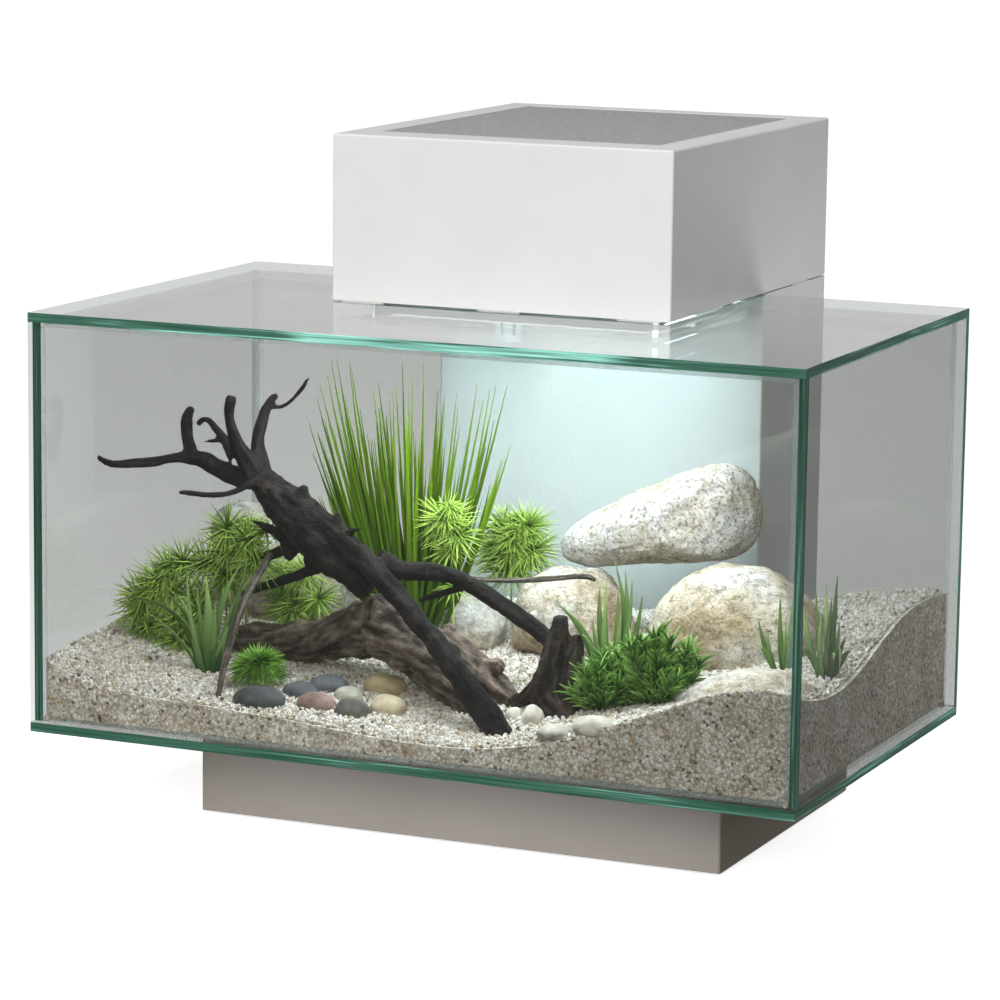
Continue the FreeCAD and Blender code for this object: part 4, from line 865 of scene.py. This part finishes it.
class AQUARIUM_OT_stage(bpy.types.Operator):
    """Adds the floor, the lights and the camera"""

    bl_idname = "aquarium.stage"
    bl_label = "Stage"

    def execute(self, context):
        scene = context.scene
        scene.view_settings.view_transform = "Standard"
        bpy.ops.object.select_all(action="DESELECT")
        bpy.ops.mesh.primitive_plane_add(size=60, location=(0, 0, -0.0005))
        floor = context.object
        floor.name = "studio_floor"
        material, tree = new_material("white_studio_paper")
        soft = object_noise(tree, 900, 1)
        base = ramp(tree, soft, [(0.0, linear("#F4F4F4")), (1.0, linear("#F8F8F8"))])
        rays = add(tree, "LightPath")
        paper = add(tree, "BsdfPrincipled", {
            "Base Color": base, "Roughness": 0.9, "Specular IOR Level": 0.0,
            "Emission Color": (1, 1, 1, 1), "Emission Strength": 0.74,
        })
        dim = add(tree, "BsdfDiffuse", {"Color": linear("#6A6A68")})
        mirrored = add(tree, "Emission", {"Color": (1, 1, 1, 1), "Strength": 0.14})
        away = add(tree, "MixShader", {
            0: rays.outputs["Is Glossy Ray"], 1: dim.outputs[0], 2: mirrored.outputs[0],
        })
        mixed = add(tree, "MixShader", {
            0: rays.outputs["Is Camera Ray"], 1: away.outputs[0], 2: paper.outputs[0],
        })
        add(tree, "OutputMaterial", {"Surface": mixed.outputs[0]})
        floor.data.materials.append(material)

        world = bpy.data.worlds.new("soft_studio")
        scene.world = world
        world.use_nodes = True
        sky = world.node_tree
        sky.nodes.clear()
        rays = add(sky, "LightPath")
        mirrored = add(sky, "MapRange", {
            "Value": rays.outputs["Is Glossy Ray"], "To Min": 0.32, "To Max": 0.66,
        }).outputs[0]
        strength = add(sky, "Math", {
            0: rays.outputs["Is Camera Ray"], 1: mirrored,
        }, operation="MAXIMUM").outputs[0]
        glow = add(sky, "Background", {"Color": (1, 1, 1, 1), "Strength": strength})
        add(sky, "OutputWorld", {"Surface": glow.outputs[0]})

        # name, place, aim, width, depth, watts and tint; the last four fill in light that the table and
        # the lamp scatter
        for name, place, aim, wide, deep, power, tint in (
            ("key_light", (0.2, -2.0, 1.4), (0, 0, 0.2), 1.2, 1.2, 40, "#FFFFFF"),
            ("front_light", (0.15, -1.6, 0.6), (0.15, 0, 0.6), 1.0, 1.2, 1.5, "#FFFFFF"),
            ("side_light", (2.0, 0.1, 0.7), (0, 0, 0.2), 1.2, 1.2, 0.3, "#FFFFFF"),
            ("column_light", (0.4, 0.15, 0.2), (0.1, 0.14, 0.14), 0.12, 0.12, 0.35, "#FFFFFF"),
            ("table_bounce", (0.0, -0.16, 0.006), (0.0, -0.11, 0.006), 0.34, 0.01, 0.11, "#E6EEFF"),
            ("panel_glow", (-0.008, 0.045, 0.165), (-0.008, 0.08, 0.165), 0.19, 0.2, 0.3, "#E0F6FF"),
            ("lamp_fill", (0.02, -0.05, 0.27), (0.02, -0.05, 0.1), 0.18, 0.18, 0.5, "#F2FCFF"),
            ("front_fill", (0.04, -0.135, 0.268), (0.04, -0.135, 0.1), 0.3, 0.07, 1.4, "#EEF6FF"),
        ):
            light = bpy.data.lights.new(name, "AREA")
            light.shape = "RECTANGLE"
            light.size = wide
            light.size_y = deep
            light.energy = power
            light.color = linear(tint)[:3]
            holder = bpy.data.objects.new(name, light)
            holder.visible_camera = False
            holder.visible_glossy = name == "key_light"
            scene.collection.objects.link(holder)
            turn = (Vector(aim) - Vector(place)).to_track_quat("-Z", "Y").to_matrix().to_4x4()
            holder.matrix_world = Matrix.Translation(place) @ turn

        camera = bpy.data.cameras.new("studio_camera")
        camera.lens = CAMERA_LENS
        camera.sensor_width = 36
        holder = bpy.data.objects.new("studio_camera", camera)
        scene.collection.objects.link(holder)
        turn = (Matrix.Rotation(math.radians(CAMERA_HEADING), 4, "Z")
                @ Matrix.Rotation(math.radians(CAMERA_TILT), 4, "X")
                @ Matrix.Rotation(math.radians(CAMERA_ROLL), 4, "Z"))
        holder.matrix_world = Matrix.Translation(CAMERA_PLACE) @ turn
        scene.camera = holder
        return {"FINISHED"}


class AQUARIUM_OT_glass(bpy.types.Operator):
    """Finishes the six panes and their silicone"""

    bl_idname = "aquarium.glass"
    bl_label = "Glass"

    def execute(self, context):
        upright = float_glass("float_glass_front_and_back", "Y", 0.05)
        sides = float_glass("float_glass_sides", "X", 0.05)
        paint("glass_front", upright)
        paint("glass_back", upright)
        paint("glass_left", sides)
        paint("glass_right", sides)
        paint("glass_bottom", float_glass("float_glass_bottom", "Z", 0.0))
        paint("glass_top", float_glass("float_glass_top", "Z", 0.24))
        paint("silicone_beads", clear_silicone())
        return {"FINISHED"}


class AQUARIUM_OT_housings(bpy.types.Operator):
    """Finishes the hood, the column, the plinth and their fittings"""

    bl_idname = "aquarium.housings"
    bl_label = "Hood, column and plinth"

    def execute(self, context):
        white = moulded_abs("white_satin_abs", tuple(colours().hood), 0.32)
        for node in ("hood_shell", "column_shell", "column_back_cover", "opening_trim", "lamp_housing"):
            paint(node, white)
        # painted shade: the plinth gets a darkened tone for the shade under the tank
        plinth = moulded_abs("plinth_abs_darkened_as_painted_shade", tuple(colours().stand), 0.42)
        paint("stand_shell", plinth)
        paint("stand_bottom_plate", plinth)
        rubber = plain_finish("black_rubber", "#161616", "#242424", 0.75)
        for node in ("stand_feet", "cord_grommet"):
            paint(node, rubber)
        paint("hood_bumpers", plain_finish("white_silicone_rubber", "#CFCFCD", "#DCDCDA", 0.6))
        paint("stand_pad", plain_finish("closed_cell_foam", "#2A2A2A", "#3C3C3C", 0.9, 1.5, 0.3))
        black = plain_finish("black_moulded_abs", "#131314", "#1D1D1F", 0.35)
        for node in ("switch_bezel", "switch_body", "switch_button"):
            paint(node, black)
        steel = plain_finish("zinc_plated_steel", "#9A9A98", "#C8C8C4", 0.35, 1.0, 0.02, 1.0)
        paint("screws", steel)
        paint("lamp_pins", steel)
        return {"FINISHED"}


class AQUARIUM_OT_grille(bpy.types.Operator):
    """Weaves the fine wire grille in the hood's top"""

    bl_idname = "aquarium.grille"
    bl_label = "Grille"

    def execute(self, context):
        low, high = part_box("hood_grille")
        pitch = sizes().mesh_pitch
        bpy.ops.object.select_all(action="DESELECT")
        bpy.ops.mesh.primitive_grid_add(
            x_subdivisions=round((high.x - low.x) / pitch), y_subdivisions=round((high.y - low.y) / pitch),
            size=1, location=(0.5 * (low.x + high.x), 0.5 * (low.y + high.y), high.z - 0.4 * MM),
        )
        cloth = context.object
        cloth.scale = (high.x - low.x, high.y - low.y, 1)
        bpy.ops.object.transform_apply(location=True, rotation=True, scale=True)
        add_modifier(cloth, "WIREFRAME", thickness=sizes().mesh_wire, use_boundary=True)
        apply_modifiers(cloth)
        settle(cloth, "grille_wire_cloth", painted_wire(), "hood", ["hood_grille"], False)
        return {"FINISHED"}


class AQUARIUM_OT_works(bpy.types.Operator):
    """Finishes the lamp and the filter"""

    bl_idname = "aquarium.works"
    bl_label = "Lamp and filter"

    def execute(self, context):
        paint("lamp_lens", lamp_lens())
        paint("lamp_board", plain_finish("white_solder_mask", "#E4E8E8", "#F2F5F5", 0.35))
        paint("lamp_leds", plain_finish("diode_phosphor", "#E8DC7A", "#F4EBA0", 0.3))
        case = moulded_abs("white_matte_abs", linear("#E6E6E4"), 0.5)
        for node in ("filter_case", "filter_lid", "filter_basket"):
            paint(node, case)
        tube = moulded_abs("pale_grey_abs_tube", linear("#8E9C9C"), 0.6)
        paint("intake_tube", tube)
        paint("intake_strainer", tube)
        black = plain_finish("black_matte_abs", "#151516", "#222224", 0.5)
        for node in ("pump_motor", "pump_impeller"):
            paint(node, black)
        ceramic = plain_finish("fired_ceramic", "#E4E0D4", "#F3F0E6", 0.85, 1.2, 0.1)
        paint("pump_shaft", ceramic)
        paint("filter_rings", ceramic)
        paint("filter_foam", plain_finish("open_cell_foam", "#10161C", "#2C3A46", 0.95, 1.6, 0.8))
        paint("filter_carbon", plain_finish("carbon_in_net", "#0C0C0C", "#26262A", 0.9, 2.5, 0.8))
        return {"FINISHED"}


class AQUARIUM_OT_gravel(bpy.types.Operator):
    """Finishes the bed of gravel and strews single grains over it"""

    bl_idname = "aquarium.gravel"
    bl_label = "Gravel"

    def execute(self, context):
        stops = [(place, linear(tint)) for place, tint in GRAVEL_STOPS]
        paint("gravel_bed", quartz_gravel("packed_quartz_gravel", stops, 1.5))
        tree = ground_tree()
        draw = random.Random(11)
        bpy.ops.object.select_all(action="DESELECT")
        bpy.ops.mesh.primitive_ico_sphere_add(subdivisions=1, radius=0.5)
        pattern = context.object
        corners = [vertex.co.copy() for vertex in pattern.data.vertices]
        facets = [tuple(face.vertices) for face in pattern.data.polygons]
        bpy.data.objects.remove(pattern)
        material = loose_grains()
        pitch = sizes().grain_pitch
        edge = 0.55 * sizes().grain
        columns = int((INNER_HIGH.x - INNER_LOW.x - 2 * edge) / pitch)
        rows = int((INNER_HIGH.y - INNER_LOW.y - 2 * edge) / pitch)
        shares = 4
        for share in range(shares):
            name = f"gravel_grains_{share + 1}"
            points, faces, tones = [], [], []
            for column in range(columns * share // shares, columns * (share + 1) // shares):
                for row in range(rows):
                    x = INNER_LOW.x + edge + (column + draw.random()) * pitch
                    y = INNER_LOW.y + edge + (row + draw.random()) * pitch
                    level = ground_height(tree, x, y)
                    size = sizes().grain * draw.uniform(0.6, 1.35)
                    turn = Euler([draw.uniform(0, math.tau) for _ in range(3)]).to_matrix()
                    squash = Vector((draw.uniform(0.75, 1.15), draw.uniform(0.75, 1.15),
                                     draw.uniform(0.5, 0.9)))
                    tone = draw.random()
                    if level is None:
                        continue
                    start = len(points)
                    middle = Vector((x, y, level + 0.12 * size + draw.uniform(0, 0.35) * size))
                    for corner in corners:
                        uneven = corner * (1 + 0.25 * (noise.noise(corner * 4 + middle * 900)))
                        points.append(middle + turn @ Vector(
                            (uneven.x * squash.x, uneven.y * squash.y, uneven.z * squash.z)) * size)
                    faces += [tuple(start + index for index in facet) for facet in facets]
                    tones += [tone] * len(corners)
            grains = mesh_object(name, points, faces, tone=tones)
            settle(grains, name, material, smooth=False)
        return {"FINISHED"}


class AQUARIUM_OT_stones(bpy.types.Operator):
    """Carves the pale stones"""

    bl_idname = "aquarium.stones"
    bl_label = "Stones"

    def execute(self, context):
        for number, (node, (outline, middle, half_depth, tan, pits)) in enumerate(STONES.items()):
            stone = carve_stone(outline, middle, half_depth, 0.6 + 0.6 * pits)
            material = pale_limestone("limestone_" + node[6:], 0.37 * number, tan, pits)
            settle(stone, "limestone_" + node[6:], material, nodes=[node])
        return {"FINISHED"}


class AQUARIUM_OT_pebbles(bpy.types.Operator):
    """Lays the pebbles"""

    bl_idname = "aquarium.pebbles"
    bl_label = "Pebbles"

    def execute(self, context):
        tree = ground_tree()
        for number, (x, y, a, b, c, turn, low, high) in enumerate(PEBBLES):
            pebble = wear_pebble(tree, x, y, (a, b, c), turn)
            material = worn_pebble(f"river_pebble_{number + 1}", low, high)
            nodes = ["pebbles"] if number == 0 else []
            settle(pebble, f"pebble_{number + 1}", material, nodes=nodes)
        return {"FINISHED"}


class AQUARIUM_OT_driftwood(bpy.types.Operator):
    """Grows the branched driftwood, the log, the stump and the twigs"""

    bl_idname = "aquarium.driftwood"
    bl_label = "Driftwood"

    def execute(self, context):
        voxel = sizes().wood_voxel
        black = soaked_wood("soaked_bog_wood", tuple(colours().wood_dark), tuple(colours().wood), 1.6)
        trunk = weather_wood(grow_wood(TRUNK, voxel), TRUNK, 3.2, 1.8)
        settle(trunk, "branched_driftwood", black, nodes=["driftwood_trunk"])
        brown = soaked_wood("brown_heartwood", linear("#332A23"), tuple(colours().bark), 1.2)
        umber = soaked_wood("umber_stump_wood", linear("#120E0B"), linear("#463A30"), 1.2)
        log = weather_wood(grow_wood(LOG, voxel), LOG, 4.5, 2.6, 0.25)
        settle(log, "driftwood_log_skin", brown, nodes=["driftwood_log"])
        stump = weather_wood(grow_wood(STUMP, voxel), STUMP, 5.0, 3.0, 0.1)
        settle(stump, "driftwood_stump_skin", umber, nodes=["driftwood_stump"])
        grey = soaked_wood("grey_twig_bark", linear("#3A332B"), linear("#8A7F70"), 0.8)
        sticks = weather_wood(grow_wood(TWIGS, 0.5 * MM), TWIGS, 0.5, 1.5)
        settle(sticks, "loose_twigs", grey, nodes=["driftwood_twigs"])
        return {"FINISHED"}


TALL_TIPS = [  # x and z of the blades' tips
    (99, 148), (100, 167), (103, 187), (106, 188), (111, 187), (115, 169), (109, 136), (123, 155),
    (128, 174), (128, 152), (134, 157), (139, 179), (143, 188), (147, 171), (150, 153), (156, 165),
    (161, 190), (164, 157), (167, 170), (175, 178), (178, 174), (180, 155), (194, 182), (200, 179),
    (206, 180), (189, 150), (185, 136),
]


class AQUARIUM_OT_tall_grass(bpy.types.Operator):
    """Plants the tall grass"""

    bl_idname = "aquarium.tall_grass"
    bl_label = "Tall grass"

    def execute(self, context):
        tree = ground_tree()
        leaves = Foliage(3)
        draw = leaves.random
        for number in range(sizes().blade_count):
            x, z = TALL_TIPS[number % len(TALL_TIPS)]
            if number >= len(TALL_TIPS):
                x += draw.uniform(-7, 7)
                z = 70 + (z - 70) * draw.uniform(0.45, 0.97)
            foot = rooted(tree, 156 + 0.2 * (x - 152) + draw.uniform(-2, 2), 146 + draw.uniform(-7, 7), 1)
            bow = Vector((0.05 * (x - 152), 0, 0)) * MM
            leaves.blade(foot, spot(x, 146 + draw.uniform(-14, 14), z), bow, draw.uniform(2.4, 3.6) * MM,
                         0.3, 10, 0.3)
        leaves.piece(
            "tall_grass_blades", leaf("tall_grass_leaf", colours().leaf_deep, colours().leaf),
            ["plant_tall_grass"], "leaf_green", 0.25 * MM,
        )
        return {"FINISHED"}


FACING = Vector((0.3, -0.85, 0.4))
UPRIGHT = Vector((0.1, -0.35, 0.93))
FERNS = {  # stems: foot x and y; whorls up the stem: x, y, z, reach, needles, the way it faces
    "plant_fern_left": [
        ((40, 84), [(42, 82, 36, 14, 20, FACING), (29, 80, 45, 15, 24, FACING), (23, 79, 54, 15, 24, FACING),
                    (27, 79, 63, 15, 24, FACING)]),
        ((46, 86), [(45, 82, 49, 14, 22, FACING), (42, 82, 64, 15, 24, FACING),
                    (34, 80, 71, 15, 24, FACING)]),
        ((50, 88), [(54, 84, 38, 13, 20, FACING), (53, 86, 60, 14, 22, FACING), (47, 84, 81, 15, 26, FACING),
                    (39, 82, 78, 14, 24, FACING)]),
        ((58, 92), [(59, 88, 66, 12, 16, FACING), (60, 85, 81, 17, 26, FACING)]),
        ((66, 98), [(68, 94, 70, 12, 16, FACING), (72, 88, 88, 18, 30, FACING)]),
        ((74, 106), [(75, 102, 76, 13, 20, UPRIGHT), (76, 100, 91, 15, 30, FACING),
                     (75, 108, 102, 9, 18, UPRIGHT)]),
        ((80, 90), [(73, 84, 76, 14, 24, FACING), (91, 84, 86, 14, 26, FACING), (86, 84, 97, 15, 28, FACING),
                    (98, 84, 103, 12, 24, UPRIGHT), (74, 84, 102, 14, 26, FACING)]),
        ((34, 84), [(27, 84, 47, 16, 26, FACING), (20, 84, 60, 15, 26, FACING),
                    (34, 84, 66, 15, 26, FACING)]),
        ((48, 80), [(48, 78, 40, 15, 26, FACING), (58, 80, 56, 15, 26, FACING)]),
    ],
    "plant_fern_middle": [
        ((100, 119), [(100, 113, 46, 13, 26, FACING), (100, 112, 54, 18, 40, UPRIGHT)]),
        ((92, 120), [(90, 117, 62, 11, 20, UPRIGHT), (90, 116, 74, 12, 26, FACING)]),
        ((108, 114), [(101, 112, 58, 14, 28, FACING), (115, 112, 62, 13, 26, FACING),
                      (107, 112, 76, 13, 28, FACING), (96, 112, 73, 12, 24, FACING)]),
    ],
    "plant_fern_back": [
        ((186, 132), [(188, 128, 72, 9, 16, UPRIGHT), (186, 128, 92, 11, 24, UPRIGHT),
                      (190, 127, 101, 14, 34, FACING), (183, 127, 109, 15, 40, FACING),
                      (185, 128, 116, 9, 26, UPRIGHT)]),
        ((193, 194), [(194, 192, 70, 18, 30, UPRIGHT), (194, 191, 79, 23, 44, UPRIGHT),
                      (197, 191, 88, 17, 36, UPRIGHT), (200, 191, 98, 13, 34, UPRIGHT),
                      (186, 188, 84, 15, 34, FACING), (207, 188, 84, 16, 36, FACING),
                      (205, 188, 97, 15, 36, FACING), (190, 188, 97, 13, 34, FACING),
                      (196, 186, 90, 16, 40, FACING)]),
    ],
}


class AQUARIUM_OT_ferns(bpy.types.Operator):
    """Plants the ferns with their whorls of needles"""

    bl_idname = "aquarium.ferns"
    bl_label = "Ferns"

    def execute(self, context):
        tree = ground_tree()
        bright = leaf("fern_needles", colours().fern_deep, colours().fern, 0.5)
        for seed, (node, stems) in enumerate(FERNS.items()):
            leaves = Foliage(20 + seed)
            for (foot_x, foot_y), whorls in stems:
                below = rooted(tree, foot_x, foot_y)
                for x, y, z, reach, count, facing in whorls:
                    place = spot(x, y, z)
                    leaves.stem(below, place, 1.5 * MM)
                    below = place
                    axis = facing.normalized()
                    curl = -4 * MM if facing is UPRIGHT else -2 * MM
                    for ring, (lift, size) in enumerate(((0.0, 1.3), (0.45, 1.15), (0.9, 0.8))):
                        leaves.whorl(
                            place, axis, max(6, count - 7 * ring), size * reach * MM, 0.95 * MM, lift, curl)
            leaves.piece(node.replace("plant_", "") + "_needles", bright, [node], "fern_green")
        return {"FINISHED"}


TUFTS = {  # foot x and y; blades: tip x, y, z, bow in x and z, width
    "plant_grass_left": [
        ((77, 57), [(31, 52, 66, 9, 10, 3.6), (43, 50, 59, 3, 3, 2.4), (64, 56, 80, -2, 0, 4.0),
                    (76, 55, 81, 1, 0, 6.4), (95, 58, 88, -4, 5, 4.6), (98, 60, 92, 1, 0, 4.6),
                    (91, 52, 56, 0, 2, 4.0), (69, 50, 62, -1, 0, 4.0), (84, 50, 68, 0, 0, 4.4),
                    (58, 54, 60, 1, 4, 3.6), (102, 56, 70, 0, 4, 3.6), (38, 54, 64, 7, 9, 2.4),
                    (52, 52, 72, 3, 5, 3.0), (70, 56, 74, 0, 0, 3.4), (88, 58, 79, -2, 2, 3.4),
                    (99, 60, 80, -2, 5, 3.2), (61, 52, 70, 2, 3, 2.8)]),
    ],
    "plant_grass_middle": [
        ((293, 98), [(262, 94, 77, 2, 6, 3.6), (283, 94, 70, -2, 0, 4.6), (290, 96, 83, -3, 0, 4.0),
                     (289, 98, 92, -2, 0, 3.6), (293, 98, 101, 6, 0, 4.4), (303, 98, 92, 2, 0, 4.6),
                     (308, 100, 84, 2, 0, 4.2), (299, 92, 74, 0, 0, 4.2), (278, 92, 62, 0, 4, 3.4),
                     (307, 94, 66, 2, 2, 3.8), (272, 96, 66, 1, 5, 3.0), (286, 96, 88, -3, 2, 4.4),
                     (299, 98, 97, 3, 2, 4.2), (296, 96, 86, 0, 0, 4.6), (268, 96, 72, 2, 6, 3.0)]),
    ],
    "plant_grass_right": [
        ((383, 110), [(371, 104, 77, -2, 1, 3.0), (377, 104, 70, -3, 4, 2.8), (382, 106, 90, -1, 0, 3.2),
                      (389, 108, 97, 1, 0, 3.4), (373, 100, 60, -2, 8, 2.8), (392, 106, 84, 2, 0, 3.2),
                      (386, 104, 76, 0, 0, 3.0)]),
        ((412, 95), [(416, 96, 105, 0, 0, 3.6), (414, 94, 94, -1, 0, 3.4), (409, 94, 86, -2, 0, 3.2),
                     (403, 92, 72, -2, 3, 3.0), (397, 86, 56, -2, 15, 2.8), (421, 88, 56, 2, 15, 2.8),
                     (419, 92, 82, 1, 0, 3.2), (421, 97, 74, 1, 3, 3.0), (406, 98, 78, -1, 0, 3.0),
                     (412, 90, 72, 0, 0, 3.4), (398, 96, 88, -2, 2, 3.4), (404, 98, 96, -1, 0, 3.2),
                     (424, 96, 66, 2, 6, 3.2), (417, 90, 62, 1, 8, 3.0), (410, 96, 100, 0, 0, 3.4)]),
    ],
}


class AQUARIUM_OT_grass_tufts(bpy.types.Operator):
    """Plants the low tufts of broad grass"""

    bl_idname = "aquarium.grass_tufts"
    bl_label = "Grass tufts"

    def execute(self, context):
        tree = ground_tree()
        broad = leaf("broad_grass_leaf", linear("#2C5A2A"), linear("#9FBE72"))
        for seed, (node, feet) in enumerate(TUFTS.items()):
            leaves = Foliage(40 + seed)
            for (foot_x, foot_y), blades in feet:
                for x, y, z, bow_x, bow_z, width in blades:
                    foot = rooted(
                        tree, foot_x + 0.16 * (x - foot_x), foot_y + leaves.random.uniform(-3, 3), 1)
                    leaves.blade(
                        foot, spot(x, y, z), Vector((bow_x, 0, bow_z)) * MM, width * MM, 0.4, 12, 0.4)
            leaves.piece(node.replace("plant_", "") + "_blades", broad, [node], "leaf_green", 0.35 * MM)
        return {"FINISHED"}


class AQUARIUM_OT_bush_and_moss(bpy.types.Operator):
    """Plants the low bush and the moss ball"""

    bl_idname = "aquarium.bush_and_moss"
    bl_label = "Low bush and moss ball"

    def execute(self, context):
        tree = ground_tree()
        bush = Foliage(60)
        draw = bush.random
        for middle_x, half, top in ((309, 22, 66), (334, 24, 76)):
            for number in range(30):
                fan = 2 * (number + 0.5) / 30 - 1
                foot = rooted(tree, middle_x + 6 * fan, 58 + draw.uniform(-8, 12), 1)
                height = (top - 38) * (1 - 0.5 * fan * fan) * draw.uniform(0.25, 1.0)
                tip = Vector((spot(middle_x + half * 0.85 * fan, 0, 0).x,
                              foot.y + draw.uniform(-12, 6) * MM, foot.z + height * MM))
                rise = tip - foot
                axis = rise.normalized()
                bush.stem(foot, tip, 1.2 * MM)
                rings = max(2, int(rise.length / (3.2 * MM)))
                for ring in range(1, rings + 1):
                    place = foot + rise * (ring / rings)
                    for _ in range(6):
                        flat = Vector((draw.uniform(-1, 1), draw.uniform(-1, 1), draw.uniform(-0.3, 0.5)))
                        way = (flat.normalized() * 0.8 + axis * 0.8).normalized()
                        bush.blade(place, place + way * draw.uniform(8, 13) * MM,
                                   Vector((0, 0, 1)) * MM, 1.3 * MM, 0.4, 3, 0.4)
        bush.piece("low_bush_leaves", leaf("low_bush_leaf", linear("#2C5A22"), linear("#98C860")),
                   ["plant_low_bush"], "leaf_green", 0.2 * MM)
        ball = Foliage(61)
        ball.dome(spot(112, 46, 37), 16.5 * MM, 1.1 * MM, 760, Vector((0, 0, 1)), -4 * MM)
        ball.piece("moss_ball_tuft", leaf("moss_leaf", linear("#2F6218"), linear("#8CBE48"), 0.6),
                   ["plant_moss_ball"], "moss")
        return {"FINISHED"}


class AQUARIUM_PT_panel(bpy.types.Panel):
    """Lists the steps and the settings"""

    bl_idname = "AQUARIUM_PT_panel"
    bl_label = "Aquarium"
    bl_space_type = "VIEW_3D"
    bl_region_type = "UI"
    bl_category = "Aquarium"

    def draw(self, context):
        for step in STEPS:
            self.layout.operator(step.bl_idname)
        for group in (colours(), sizes()):
            for name in group.__annotations__:
                self.layout.prop(group, name)


STEPS = (
    AQUARIUM_OT_stage, AQUARIUM_OT_glass, AQUARIUM_OT_housings, AQUARIUM_OT_grille, AQUARIUM_OT_works,
    AQUARIUM_OT_gravel, AQUARIUM_OT_stones, AQUARIUM_OT_pebbles, AQUARIUM_OT_driftwood,
    AQUARIUM_OT_tall_grass, AQUARIUM_OT_ferns, AQUARIUM_OT_grass_tufts, AQUARIUM_OT_bush_and_moss,
)
CLASSES = (AquariumColours, AquariumSizes, *STEPS, AQUARIUM_PT_panel)


def register():
    for item in CLASSES:
        bpy.utils.register_class(item)
    bpy.types.Scene.aquarium_colours = bpy.props.PointerProperty(type=AquariumColours)
    bpy.types.Scene.aquarium_sizes = bpy.props.PointerProperty(type=AquariumSizes)


def unregister():
    del bpy.types.Scene.aquarium_sizes
    del bpy.types.Scene.aquarium_colours
    for item in reversed(CLASSES):
        bpy.utils.unregister_class(item)


def main():
    register()
    for step in STEPS:
        group, name = step.bl_idname.split(".")
        getattr(getattr(bpy.ops, group), name)()


if __name__ == "__main__":
    main()
